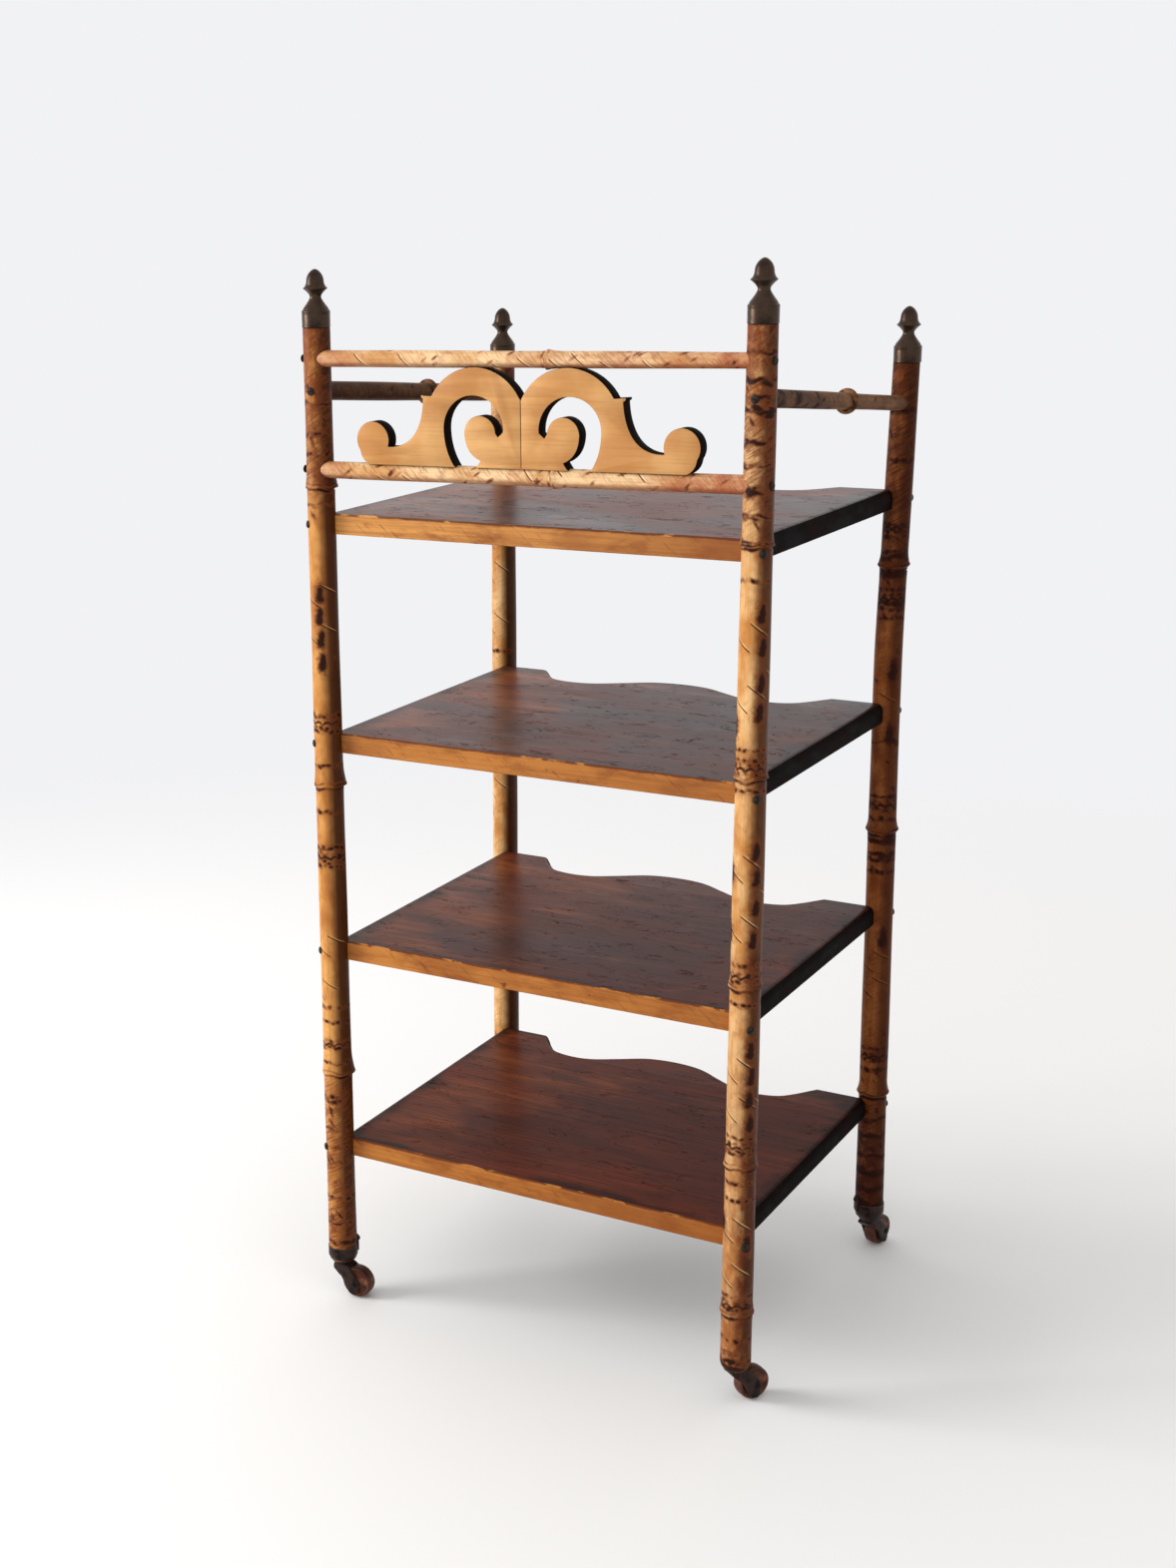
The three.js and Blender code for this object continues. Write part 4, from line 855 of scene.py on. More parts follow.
# the sides lists paint shade: under each gallery rail, and on the +X side of each side rail
galleryRail = {
    "ends": ("back_left", "back_right"), "shape": (1.8, 18), "finish": "railCane", "slot": "rail_bamboo",
    "slope": 1.0, "paintRadius": 8, "sides": [("stain", 0, 0.45, 0.3), ("shadeSide", 0, 0.35, 0.3)],
}
sideRail = {
    "knot": 0.55, "shape": (4.6, 18), "ridge": 3.0, "finish": "sideRailCane", "slot": "brown_rail", "slope": 1.0,
    "paintRadius": 9,
}
rails = {
    "upper_gallery_rail": {
        **galleryRail, "radii": (8.3, 7.2), "knot": 0.55, "knotDark": 0.55,
        "stain": [(0.0, 0.8), (0.03, 0.6), (0.07, 0.1), (0.2, 0.0), (0.25, 0.3), (0.3, 0.15), (0.33, 0.6), (0.36, 0.25),
                  (0.42, 0.5), (0.44, 0.9)],
        "flecks": [(0.0, 0.2), (0.06, 0.5), (0.25, 0.6), (0.3, 0.8), (0.46, 0.9)],
        "scatter": [(0.05, 0.44, 8, -175, 0)], "dabs": [(0.03, 0.3, 34, 0.8), (0.3, 0.46, 36, 0.9)],
    },
    "lower_gallery_rail": {
        **galleryRail, "radii": (8.3, 8.8), "knot": 0.565, "knotDark": 0.7,
        "stain": [(0.0, 0.7), (0.03, 0.5), (0.05, 0.0), (0.36, 0.1), (0.39, 0.7), (0.45, 0.9)],
        "flecks": [(0.0, 0.3), (0.04, 0.9), (0.24, 0.8), (0.26, 0.3), (0.36, 0.5), (0.46, 0.7)],
        "scatter": [(0.04, 0.4, 8, -175, 0)], "dabs": [(0.03, 0.27, 46, 0.9), (0.27, 0.46, 18, 0.8)],
    },
    "left_side_rail": {
        **sideRail, "ends": ("back_left", "front_left"), "radii": (9.5, 9.2),
        "stain": [(0.0, 0.8), (0.1, 0.6), (0.38, 0.3)], "flecks": [(0.0, 0.7), (0.38, 0.4)],
        "sides": [("shadeSide", 0, 0.5, 0.3)], "dabs": [(0.0, 0.38, 40, 0.9)],
    },
    "right_side_rail": {
        **sideRail, "ends": ("back_right", "front_right"), "radii": (8.8, 7.1),
        "stain": [(0.0, 0.7), (0.1, 0.5), (0.2, 0.1), (0.38, 0.1)], "flecks": [(0.0, 0.8), (0.2, 0.5), (0.38, 0.3)],
        "sides": [("shadeSide", 0, 0.4, 0.3)], "bands": [(0.03, 8, 0.7), (0.07, 9, 0.75), (0.12, 6, 0.6)],
        "dabs": [(0.0, 0.16, 46, 1.0), (0.16, 0.38, 20, 0.6)],
    },
}


def railEnd(rail, corner):
    # the screw that holds an end runs through its middle
    low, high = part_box(f"{rail}_screw_{corner}")
    middle = (low + high) / 2
    if "gallery" in rail:
        middle.x = axes[corner].x
    else:
        middle.y = axes[corner].y
    return middle


def upTo(direction):
    # turns local Z to a direction
    return Vector((0, 0, 1)).rotation_difference(direction).to_matrix().to_4x4()


def buildRail(name, rail):
    start, end = (railEnd(name, corner) for corner in rail["ends"])
    length = (end - start).length
    knotZ = length * rail["knot"]
    fromRadius, toRadius, swell, flare = (size * mm for size in rail["radii"] + rail["shape"])
    buildCane(name, Matrix.Translation(start) @ upTo(end - start),
              np.concatenate([np.arange(0, length, cane["railStep"]), [length], knotZ + cane["nearNode"]]),
              lambda z: fromRadius + (toRadius - fromRadius) * z / length, [[knotZ, swell, flare, 0]],
              {**rail, "node": name}, sides=cane["railSides"])


for name, rail in rails.items():
    buildRail(name, rail)
print("rails built")


shelf = {
    "thickness": 21 * mm, "sideInset": 1.5 * mm, "backInset": 2.8 * mm, "frontInset": 7 * mm, "cove": 44.5 * mm,
    "rounding": 8 * mm, "underRounding": 1.6 * mm, "underDegrees": (0, 30, 60, 90), "topDegrees": range(0, 91, 10),
    "serpentine": [(0.739, 0), (0.703, 0.26), (0.662, 0.56), (0.6, 0.88), (0.5, 1), (0.4, 0.93), (0.285, 0.6),
                   (0.15, 0.2), (0, 0.08)], "curveSteps": 14, "outlinePoints": 620,
    # how far the worn edges reach: from the top, from the underside
    "topWear": 5 * mm, "underWear": 3 * mm,
}
middleX = (axes["back_left"].x + axes["back_right"].x) / 2
halfSpanX = (axes["back_right"].x - axes["back_left"].x) / 2 - shelf["sideInset"]
backY = axes["back_left"].y + shelf["backInset"]
frontY = axes["front_left"].y - shelf["frontInset"]


def shelfOutline():
    # open line from the back right corner round the front to the back left one
    half = [(across * halfSpanX, frontY - inward * shelf["cove"]) for across, inward in shelf["serpentine"]]
    front = spline(half + [(-x, y) for x, y in half[-2::-1]], shelf["curveSteps"])
    corners = [(halfSpanX, backY), (halfSpanX, frontY), *front, (-halfSpanX, frontY), (-halfSpanX, backY)]
    return np.array(evenly(corners, shelf["outlinePoints"])) + [middleX, 0]


outline = shelfOutline()


def buildShelf(name):
    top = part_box(name)[1].z
    bottom, small, large = top - shelf["thickness"], shelf["underRounding"], shelf["rounding"]
    levels = [(bottom + small * (1 - math.cos(turn)), small * (1 - math.sin(turn)))
              for turn in map(math.radians, shelf["underDegrees"])]
    levels += [(top - large * (1 - math.sin(turn)), large * (1 - math.cos(turn)))
               for turn in map(math.radians, shelf["topDegrees"])]
    rings = [np.c_[insetLine(outline, inset, False), np.full(len(outline), z)] for z, inset in levels]
    points, faces = skinRings(rings)
    height = points[:, 2]
    arris = np.where(points[:, 1] < backY + 0.1 * mm, 1.0, 0.0)
    upper = np.clip(1 - np.abs(height - top) / shelf["topWear"], 0, 1)
    under = np.clip(1 - np.abs(height - bottom) / shelf["underWear"], 0, 1) * 0.6
    shape = makeMesh(f"{name}_board", points, faces, shelfFinishes[name], {"arris": arris * np.maximum(upper, under)},
                     edge=(shelfEdge, lambda normal: normal.y > -0.5 and normal.z < 0.85))
    addPiece(f"{name}_board", shape, [name])


for name in shelfFinishes:
    buildShelf(name)
print("shelves built")


fret = {
    "margin": 51 * mm, "height": 94.4 * mm, "thickness": 15 * mm, "bevel": 0.7 * mm, "gap": 0.15 * mm, "steps": 26,
    # ellipses in shares of the half: middle, half width and half height
    "arch": (0.269, 0.436, 0.297, 0.564), "void": (0.28, 0.386, 0.176, 0.334), "lobe": (0.242, 0.344, 0.093, 0.177),
    "volute": (0.898, 0.253, 0.1, 0.19),
    # knots in the maple: place in shares, reach in millimetres
    "knots": [(-0.15, 0.83, 6), (-0.46, 0.72, 9)], "knotTall": 0.6,
    "overRail": 7.55 * mm, "shortest": 0.05 * mm, "longest": 1.6 * mm, "sharp": 50,
}
fretHalf = halfSpanX + shelf["sideInset"] - fret["margin"]


def fretOutline():
    def arc(name, fromDegrees, toDegrees):
        x, z, across, up = fret[name]
        turns = np.radians(np.linspace(fromDegrees, toDegrees, fret["steps"]))
        return [(x + across * math.cos(turn), z + up * math.sin(turn)) for turn in turns]

    def bend(*points):
        # a Bezier curve with these handles
        shares, order = np.linspace(0, 1, fret["steps"])[:, None], len(points) - 1
        return list(sum(math.comb(order, step) * shares ** step * (1 - shares) ** (order - step) * np.array(point)
                        for step, point in enumerate(points)))

    seam = fret["gap"] / fretHalf
    valley = math.degrees(math.acos((seam - fret["arch"][0]) / fret["arch"][2]))
    lobe, volute, hole = arc("lobe", 0, 178), arc("volute", -35, 200), arc("void", 184, 0)
    path = [(seam, 0), (0.268, 0), (0.242, 0.073), *bend((0.242, 0.073), (0.33, 0.136), lobe[0]), *lobe,
            (0.135, 0.313), *hole, *bend(hole[-1], (0.456, 0.167), (0.394, 0)), (0.923, 0),
            *bend((0.923, 0), (0.972, 0.04), volute[0]), *volute,
            *bend(volute[-1], (0.66, 0.177), (0.588, 0.376), (0.58, 0.68)), (0.591, 0.695), (0.591, 0.716),
            *arc("arch", 29, valley)]
    path = np.array(path) * [fretHalf, fret["height"]]
    path = path[np.r_[True, np.linalg.norm(np.diff(path, axis=0), axis=1) > fret["shortest"]]]
    fine = []
    for start, end in zip(path, np.roll(path, -1, 0)):
        pieces = max(1, int(np.linalg.norm(end - start) / fret["longest"]))
        fine += [start + (end - start) * share / pieces for share in range(pieces)]
    return np.array(fine)


def plateRings(line, thickness, bevel):
    # an upright plate: the outline in local X and Z, its faces towards -Y and +Y
    half = thickness / 2
    levels = [(bevel, half), (bevel * 0.3, half - bevel * 0.3), (0, half - bevel)]
    rings = []
    for inset, y in [(inset, -y) for inset, y in levels] + levels[::-1]:
        flat = insetLine(line, inset, True)
        rings.append(np.c_[flat[:, 0], np.full(len(flat), y), flat[:, 1]])
    return rings


fretLine = fretOutline()
railA, railB = (railEnd("lower_gallery_rail", corner) for corner in galleryRail["ends"])
climb = math.atan2(railB.z - railA.z, railB.x - railA.x)
fretFoot = Matrix.Translation((railA + railB) / 2 + Vector((0, 0, fret["overRail"]))) @ Matrix.Rotation(-climb, 4, "Y")
for name, line in (("left_fret", (fretLine * [-1, 1])[::-1]), ("right_fret", fretLine)):
    points, faces = skinRings(plateRings(line, fret["thickness"], fret["bevel"]))
    knot = np.zeros(len(points))
    for across, up, reach in fret["knots"]:
        away = np.hypot(points[:, 0] - across * fretHalf, (points[:, 2] - up * fret["height"]) * fret["knotTall"])
        knot = np.maximum(knot, np.exp(-(away / (reach * mm)) ** 2))
    shape = makeMesh(f"{name}_board", points, faces, honeyMaple, {"knot": knot}, fret["sharp"],
                     edge=(fretEdge, lambda normal: abs(normal.y) < 0.6))
    addPiece(f"{name}_board", shape, [name], fretFoot)
print("fretwork built")


finial = {
    "sides": 56,
    "collar": [(12.0, 0.6), (13.5, 0.0), (14.1, 0.3), (14.2, 0.8), (14.0, 1.2), (14.05, 12.6), (13.95, 12.9),
               (14.2, 13.4), (14.2, 14.0), (13.9, 14.4), (14.15, 14.9), (14.2, 15.6), (13.9, 16.2), (13.3, 16.6)],
    "cone": [(12.9, 17.3), (11.9, 19.2), (9.7, 22.1), (7.5, 25.2), (5.9, 28.0)],
    "neck": [(5.7, 28.9), (5.75, 30.2), (6.7, 32.0), (8.6, 34.2), (11.1, 36.4)],
    "lip": [(11.9, 37.1), (12.1, 37.5), (11.7, 38.1)],
    "acorn": [(10.5, 39.1), (9.4, 41.0), (8.75, 43.5), (8.5, 46.0), (7.8, 48.8), (6.3, 51.6), (4.2, 54.0)],
    "tip": [(2.6, 55.1), (1.3, 55.7), (0.02, 56.0)],
    "curves": (("cone", 5), ("neck", 4), ("lip", 3), ("acorn", 5), ("tip", 3)),
    "rubbed": 0.7, "rubbedAt": (0.4, 13.7, 15.3, 37.5), "rubbedWide": 0.6,
}
profile = np.concatenate([finial["collar"], *(spline(finial[part], steps) for part, steps in finial["curves"])])
finialRings = lathe(profile, finial["sides"])
finialHeights = np.repeat(profile[:, 1], finial["sides"])
rubbed = finial["rubbed"] * sum(np.exp(-((finialHeights - at) / finial["rubbedWide"]) ** 2)
                                for at in finial["rubbedAt"])
for corner, (low, high) in caps.items():
    points, faces = skinRings(finialRings * [1, 1, (high.z - low.z) / finialRings[-1, 0, 2]])
    shape = makeMesh(f"{corner}_acorn_finial", points, faces, bronze, {"arris": rubbed})
    addPiece(f"{corner}_acorn_finial", shape, [f"{corner}_finial"],
             Matrix.Translation(((low.x + high.x) / 2, (low.y + high.y) / 2, low.z)))

ferrule = {
    "sides": 56, "standsAt": 38 * mm,
    "profile": [(4.6, 0.0), (10.6, 0.0), (11.5, 0.3), (12.6, 1.8), (14.6, 5.0), (15.7, 7.4), (16.3, 8.6), (16.3, 17.2),
                (16.0, 17.6), (16.3, 18.0), (16.3, 19.6), (16.0, 20.0), (15.0, 20.0), (14.7, 19.6), (14.7, 15.0)],
    # the ear is a bent tongue, rounded at its top
    "earDegrees": 18, "earTop": 29.0, "earFoot": 12.0, "earRound": 4.2, "earCurve": 3.2,
    "earOutside": 17.7, "earInside": 16.05, "earBevel": 0.35, "earRows": 9, "earColumns": 15,
    "rubbed": ((19.8, 1.0), (8.6, 0.6)), "rubbedWide": 0.8,
}


def addEar(points, faces, middle):
    base, rows, wide = len(points), ferrule["earRows"], ferrule["earColumns"]
    spread, foot = math.radians(ferrule["earDegrees"]), ferrule["earFoot"]
    shares = np.linspace(-1, 1, wide)
    tops = ferrule["earTop"] - ferrule["earRound"] * np.abs(shares) ** ferrule["earCurve"]
    for outer in (True, False):
        for row in range(rows):
            for share, top in zip(shares, tops):
                reach = (ferrule["earOutside"] if outer else ferrule["earInside"]) * mm
                rise = (foot + (top - foot) * row / (rows - 1)) * mm
                if outer and (row == rows - 1 or abs(share) == 1):
                    reach -= ferrule["earBevel"] * mm
                turn = middle + spread * share
                points.append((reach * math.cos(turn), reach * math.sin(turn), rise))

    def at(face, row, spot):
        return base + (face * rows + row) * wide + spot

    for face in (0, 1):
        for row in range(rows - 1):
            for spot in range(wide - 1):
                faces.append([at(face, row, spot), at(face, row, spot + 1), at(face, row + 1, spot + 1),
                              at(face, row + 1, spot)])
    for row in range(rows - 1):
        for spot in (0, wide - 1):
            faces.append([at(0, row, spot), at(0, row + 1, spot), at(1, row + 1, spot), at(1, row, spot)])
    for row in (0, rows - 1):
        for spot in range(wide - 1):
            faces.append([at(0, row, spot), at(0, row, spot + 1), at(1, row, spot + 1), at(1, row, spot)])


for corner in ("back_left", "front_left", "front_right"):
    foot = feet[corner]
    points, faces = skinRings(lathe(ferrule["profile"], ferrule["sides"]), capped=False)
    points = list(points)
    addEar(points, faces, math.atan2(-1 if foot.y > 0 else 1, -1 if foot.x > middleX else 1))
    heights = np.array(points)[:, 2] / mm
    worn = sum(share * np.exp(-((heights - at) / ferrule["rubbedWide"]) ** 2) for at, share in ferrule["rubbed"])
    shape = makeMesh(f"{corner}_foot_cup", points, faces, castorBronze, {"arris": worn})
    addPiece(f"{corner}_foot_cup", shape, [f"{corner}_ferrule"],
             Matrix.Translation((foot.x, foot.y, ferrule["standsAt"])))
print("finials and foot cups built")

screw = {
    "sides": 24, "slotWide": 0.42, "slotDeep": 1.0, "domeShare": 0.55, "sharp": 35, "seed": 5,
    "shank": [(0.4, -10.0), (1.9, -8.0), (1.9, -0.02)], "rim": (-0.1, -0.02),
    "large": 4.0, "small": 2.6, "largeRise": 2.2 * mm, "smallRise": 1.43 * mm,
    "dome": [(1.0, 0.0), (1.0, 0.22), (0.93, 0.46), (0.78, 0.7), (0.55, 0.88), (0.28, 0.98)],
}


def screwMesh(headRadius):
    headHeight = headRadius * screw["domeShare"]
    dome = [(share * headRadius, up * headHeight) for share, up in screw["dome"]]
    profile = [*screw["shank"], (headRadius + screw["rim"][0], screw["rim"][1]), *dome]

    def cutSlot(work):
        for side in (-1, 1):
            bmesh.ops.bisect_plane(work, geom=work.verts[:] + work.edges[:] + work.faces[:],
                                   plane_co=(0, side * screw["slotWide"] * mm, 0), plane_no=(0, 1, 0), dist=1e-6)
        work.normal_update()
        slot = [face for face in work.faces if face.calc_center_median().z > 0.1 * mm and face.normal.z > 0.05
                and all(abs(vert.co.y) < (screw["slotWide"] + 0.01) * mm for vert in face.verts)]
        made = bmesh.ops.extrude_face_region(work, geom=slot)
        floor = headHeight * mm - screw["slotDeep"] * mm
        for item in made["geom"]:
            if isinstance(item, bmesh.types.BMVert):
                item.co.z = min(item.co.z, floor)
        bmesh.ops.delete(work, geom=slot, context="FACES")

    shape = makeMesh(f"slottedScrew{int(headRadius * 10)}", *skinRings(lathe(profile, screw["sides"])), iron,
                     sharp=screw["sharp"], carve=cutSlot)
    paintMask(shape, "arris", [1.0 if vert.co.z > 0.3 * mm else 0.0 for vert in shape.vertices])
    return shape


bigScrew, smallScrew = screwMesh(screw["large"]), screwMesh(screw["small"])
screwNames = sorted(name for name in frame["nodes"] if "_screw_" in name)
chance = np.random.default_rng(screw["seed"])
for name in screwNames:
    corner = name.split("_screw_")[1]
    low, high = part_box(name)
    middle = (low + high) / 2
    outward = Vector((-1 if corner.endswith("left") else 1, -1 if corner.startswith("back") else 1, 0))
    shape, rise = bigScrew, screw["largeRise"]
    if name.startswith("ferrule"):
        # these come from inside the stand
        outward.negate()
        shape, rise = smallScrew, screw["smallRise"]
    elif "gallery_rail" in name:
        outward.y = 0
    elif "side_rail" in name:
        outward.x = 0
    outward.normalize()
    reach = max((vertex.co - middle).dot(outward) for vertex in frame["nodes"][name].data.vertices)
    addPiece(f"{name}_head", shape, [name], Matrix.Translation(middle + outward * (reach - rise))
             @ upTo(outward) @ Matrix.Rotation(chance.uniform(0, math.pi), 4, "Z"))
print("screws set:", len(screwNames))


castor = {
    # millimetres from the post's axis; the edges and the splay are shares of trail and top
    "trail": 19.5, "top": 37.7, "crown": 7.6, "arm": 3.6, "half": 11.9, "slot": 18.9, "axle": 17.234,
    "front": [(-0.39, 1.0), (-0.39, 0.857), (-0.12, 0.74), (0.16, 0.6), (0.4, 0.36), (0.66, 0.15), (1.04, 0.1)],
    "back": [(0.39, 1.0), (0.72, 0.86), (1.1, 0.64), (1.26, 0.46), (1.24, 0.24), (1.04, 0.1)],
    "splay": [(0.0, 1.0), (0.66, 1.0), (0.8, 0.88), (0.9, 0.4), (1.0, 0.0)], "steps": 34, "curveSteps": 8,
    "armShares": [0, 0.03, 0.1, 0.25, 0.5, 0.75, 0.9, 0.97, 1], "tipShrink": [0.3, 0.6, 0.2],
    "yokeDegrees": (112, 157, 18), "yokeInset": 0.6, "yokeBack": 0.3, "yokeLeast": 0.2, "wornBelow": 14 * mm,
    "stem": [(0.05, 33.2), (6.4, 33.2), (7.4, 34.0), (7.6, 35.0), (7.6, 37.2), (7.2, 37.7), (4.1, 37.72), (4.0, 60.0),
             (3.2, 62.0), (0.05, 62.2)], "stemSides": 32,
    "wheel": [(2.5, 7.4), (5.3, 7.5), (6.0, 7.2), (6.6, 6.4), (7.6, 6.1), (12.2, 6.2), (13.4, 6.6), (14.6, 7.3),
              (15.7, 7.2), (16.6, 6.4), (17.05, 5.0), (17.2, 3.0), (17.23, 1.2), (17.23, 0.0)], "wheelSides": 48,
    "pin": [(0.05, 13.35), (1.4, 13.3), (2.5, 13.0), (3.3, 12.5), (3.6, 12.1), (3.4, 11.95), (2.2, 11.95), (2.2, 0.0)],
}


def splayAt(z):
    shares, outs = np.array(castor["splay"]).T
    return castor["crown"] + (castor["half"] - castor["crown"]) * np.interp(z / castor["top"], shares, outs)


def forkShape():
    size, half = np.array([castor["trail"], castor["top"]]), castor["arm"] / 2
    front, back = (evenly(spline(np.array(castor[edge]) * size, castor["curveSteps"]), castor["steps"])
                   for edge in ("front", "back"))
    points, faces = [], []

    def join(rings):
        fresh, more = skinRings(rings)
        base = len(points)
        points.extend(fresh * mm)
        faces.extend([[base + spot for spot in face] for face in more])

    # each arm is a strip between its front and back edges, rounded at the edges
    shares = np.array(castor["armShares"])
    full = np.sqrt(np.clip(1 - np.abs(2 * shares - 1) ** 6, 0, 1))
    for side in (-1, 1):
        rings = []
        for first, last in zip(front[:-1], back[:-1]):
            line = first + (last - first) * shares[:, None]
            out = splayAt(line[:, 1]) - half
            outer, inner = (np.c_[line[:, 0], side * (out + way * full * half), line[:, 1]] for way in (1, -1))
            rings.append(np.vstack([outer, inner[-2:0:-1]]))
        tip = np.array([front[-1][0], side * (splayAt(front[-1][1]) - half), front[-1][1]])
        rings.append(tip + (rings[-1] - rings[-1].mean(0)) * castor["tipShrink"])
        join(rings)
    # the yoke fills between the arms above the wheel
    hub = np.array([castor["trail"], castor["axle"]])
    away = np.vstack([front[::-1], back]) - hub
    away = away[(away[:, 0] < 0) & (away[:, 1] > 0)]
    turns, far = np.arctan2(away[:, 1], away[:, 0]), np.hypot(*away.T)
    order = np.argsort(turns)
    rings = []
    for at in np.radians(np.linspace(*castor["yokeDegrees"])):
        ray = np.array([math.cos(at), math.sin(at)])
        reach = np.interp(at, turns[order], far[order]) - castor["yokeBack"]
        inner, outer = hub + castor["slot"] * ray, hub + max(reach, castor["slot"] + castor["yokeLeast"]) * ray
        wide = [float(splayAt(spot[1])) - castor["yokeInset"] for spot in (inner, outer)]
        rings.append(np.array([(inner[0], -wide[0], inner[1]), (inner[0], wide[0], inner[1]),
                               (outer[0], wide[1], outer[1]), (outer[0], -wide[1], outer[1])]))
    join(rings)
    join(lathe(castor["stem"], castor["stemSides"]) / mm)
    return np.array(points), faces


def onAxle(profile):
    # the half profile and its mirror, turned round local Y
    profile = np.array(profile)
    profile = np.vstack([profile, (profile * [1, -1])[-2::-1]])
    return lathe(profile, castor["wheelSides"])[..., [0, 2, 1]]


forkPoints, forkFaces = forkShape()
wheelRings = onAxle(castor["wheel"])
for corner, foot in feet.items():
    hub = jointAt[f"{corner}_roll"]
    turn = Matrix.Rotation(math.atan2(hub.y - foot.y, hub.x - foot.x), 4, "Z")
    atFoot, atHub = Matrix.Translation((foot.x, foot.y, 0)) @ turn, Matrix.Translation(hub) @ turn
    worn = np.clip(forkPoints[:, 2] / castor["wornBelow"], 0, 1) * 0.4
    shape = makeMesh(f"{corner}_horn_fork", forkPoints, forkFaces, castorBronze, {"arris": worn})
    addPiece(f"{corner}_horn_fork", shape, [f"{corner}_fork"], atFoot, f"{corner}_castor")
    points, faces = skinRings(np.concatenate([wheelRings, wheelRings[:1]]), capped=False)
    shape = makeMesh(f"{corner}_turned_wheel", points, faces, wheelWood)
    addPiece(f"{corner}_turned_wheel", shape, [f"{corner}_wheel"], atHub, f"{corner}_roller")
    points, faces = skinRings(onAxle(castor["pin"]))
    shape = makeMesh(f"{corner}_riveted_pin", points, faces, iron, {"arris": np.full(len(points), 0.5)})
    addPiece(f"{corner}_riveted_pin", shape, [f"{corner}_axle"], atHub, f"{corner}_castor")
print("castors built")


stage = {
    "floor": (0.9, 0.885, 0.87), "radius": 14.0, "corners": 64, "fadeFrom": 0.9, "fadeTo": 2.6, "dull": 0.6,
    "shine": 0.2, "backdrop": (0.885, 0.888, 0.905),
    "towardWindow": (-0.86, -0.46, 0.2), "dimFrom": -0.7, "brightFrom": 0.9, "dim": 0.62, "bright": 1.1,
    "keyPlace": (-2.9, -1.75, 1.7), "keyAim": (0, 0, 0.5), "keySize": (1.4, 1.8), "keyPower": 91.0,
}


def floorFinish():
    # a plain pale floor that runs into the backdrop far from the stand
    wire = newFinish("paleFloor")
    for key, value in (("Base Color", (*stage["floor"], 1.0)), ("Roughness", stage["dull"]),
                       ("Specular IOR Level", stage["shine"])):
        wire.shader.inputs[key].default_value = value
    away = wire.vector("LENGTH", wire.place, output="Value")
    glow = wire.put("ShaderNodeEmission", {"Color": stage["backdrop"], "Strength": 1.0})
    mixed = wire.put("ShaderNodeMixShader", {0: wire.between(away, stage["fadeFrom"], stage["fadeTo"]),
                                             1: wire.shader.outputs[0], 2: glow.outputs[0]})
    wire.tree.links.new(mixed.outputs[0], wire.tree.nodes["Material Output"].inputs["Surface"])
    return wire.material


rim = [(stage["radius"] * math.cos(turn), stage["radius"] * math.sin(turn), 0)
       for turn in np.linspace(0, fullTurn, stage["corners"], endpoint=False)]
floorMesh = bpy.data.meshes.new("studioFloor")
floorMesh.from_pydata(rim, [], [list(range(len(rim)))])
floorMesh.materials.append(floorFinish())
floor = bpy.data.objects.new("studioFloor", floorMesh)
bpy.context.scene.collection.objects.link(floor)

# a soft room that is brighter towards the window, and plain backdrop where the camera or a gloss sees it
world = bpy.data.worlds.new("softRoom")
bpy.context.scene.world = world
world.use_nodes = True
world.node_tree.nodes.clear()
wire = wiring(world.node_tree)
path = wire.put("ShaderNodeLightPath").outputs
seen = wire.calc("MAXIMUM", path["Is Camera Ray"], path["Is Glossy Ray"])
seen = wire.calc("MAXIMUM", seen, path["Is Transmission Ray"])
toward = wire.vector("DOT_PRODUCT", wire.put("ShaderNodeTexCoord").outputs["Generated"], stage["towardWindow"], "Value")
glow = wire.between(toward, *(stage[key] for key in ("dimFrom", "brightFrom", "dim", "bright")))
room = wire.put("ShaderNodeBackground", {"Color": (1, 1, 1), "Strength": glow})
shown = wire.put("ShaderNodeBackground", {"Color": stage["backdrop"], "Strength": 1.0})
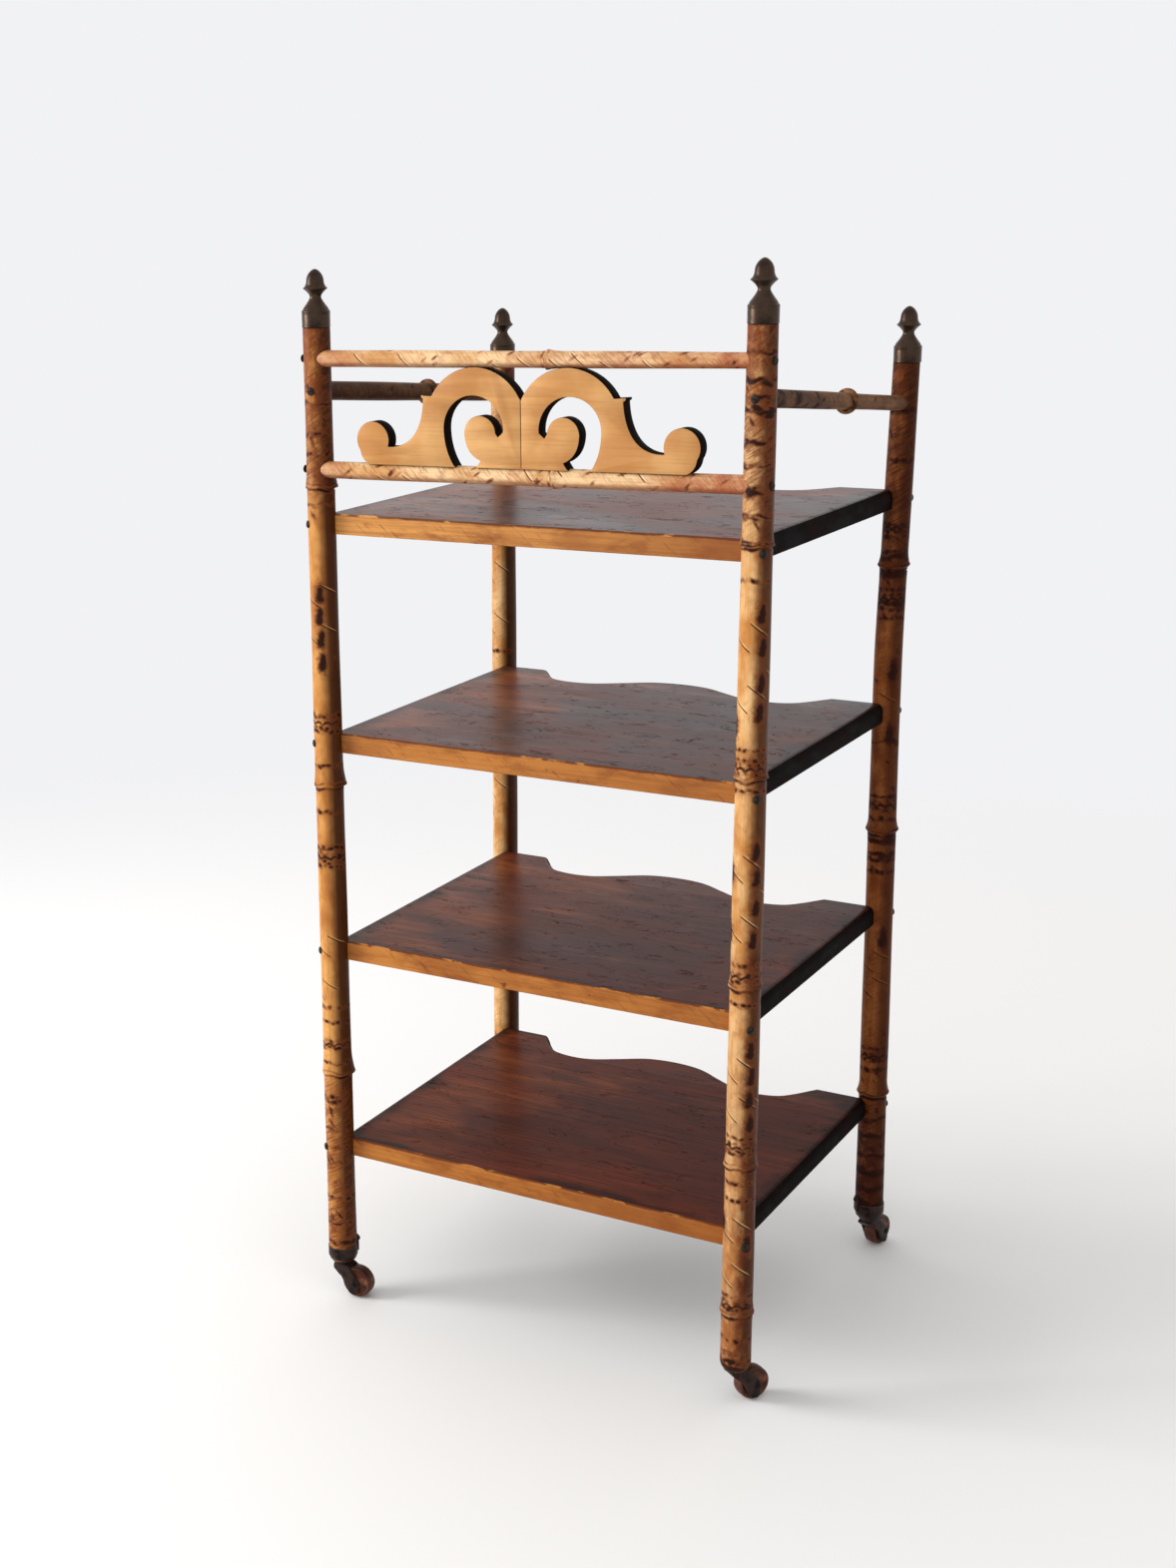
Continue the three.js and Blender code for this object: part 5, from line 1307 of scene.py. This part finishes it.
mixed = wire.put("ShaderNodeMixShader", {0: seen, 1: room.outputs[0], 2: shown.outputs[0]})
wire.put("ShaderNodeOutputWorld", {0: mixed.outputs[0]})

keyData = bpy.data.lights.new("windowLight", "AREA")
keyData.shape, keyData.energy = "RECTANGLE", stage["keyPower"]
keyData.size, keyData.size_y = stage["keySize"]
keyLight = bpy.data.objects.new("windowLight", keyData)
bpy.context.scene.collection.objects.link(keyLight)
keyLight.location = stage["keyPlace"]
keyLight.rotation_euler = (Vector(stage["keyAim"]) - Vector(stage["keyPlace"])).to_track_quat("-Z", "Y").to_euler()

# the photo's camera: millimetres from the stand's middle, degrees and pixels
view = {
    "offset": (969.8, -2029.35, 1175.15), "yaw": -32.8242, "pitch": -16.2808, "roll": -1.5728,
    "focal": 2178.68, "centre": (345.8, 834.3), "photo": (1178, 1571), "sensor": 36.0, "clip": (0.05, 60.0),
}


def setCamera():
    data = bpy.data.cameras.new("photoCamera")
    camera = bpy.data.objects.new("photoCamera", data)
    bpy.context.scene.collection.objects.link(camera)
    yaw, pitch, roll = (math.radians(view[key]) for key in ("yaw", "pitch", "roll"))
    ahead = Vector((math.sin(yaw) * math.cos(pitch), math.cos(yaw) * math.cos(pitch), math.sin(pitch)))
    right = Vector((math.cos(yaw), -math.sin(yaw), 0))
    up = right.cross(ahead)
    across = right * math.cos(roll) + up * math.sin(roll)
    upward = -right * math.sin(roll) + up * math.cos(roll)
    middle = Vector((middleX, (axes["back_left"].y + axes["front_left"].y) / 2, 0))
    place = Matrix((across, upward, -ahead)).transposed().to_4x4()
    place.translation = middle + Vector(view["offset"]) * mm
    camera.matrix_world = place
    wide, tall = view["photo"]
    data.sensor_fit, data.sensor_width = "AUTO", view["sensor"]
    data.lens = view["focal"] * view["sensor"] / tall
    data.shift_x = (wide / 2 - view["centre"][0]) / tall
    data.shift_y = (view["centre"][1] - tall / 2) / tall
    data.clip_start, data.clip_end = view["clip"]
    bpy.context.scene.camera = camera


setCamera()
bpy.context.scene.view_settings.view_transform = "Standard"

print("stage, light and camera set")
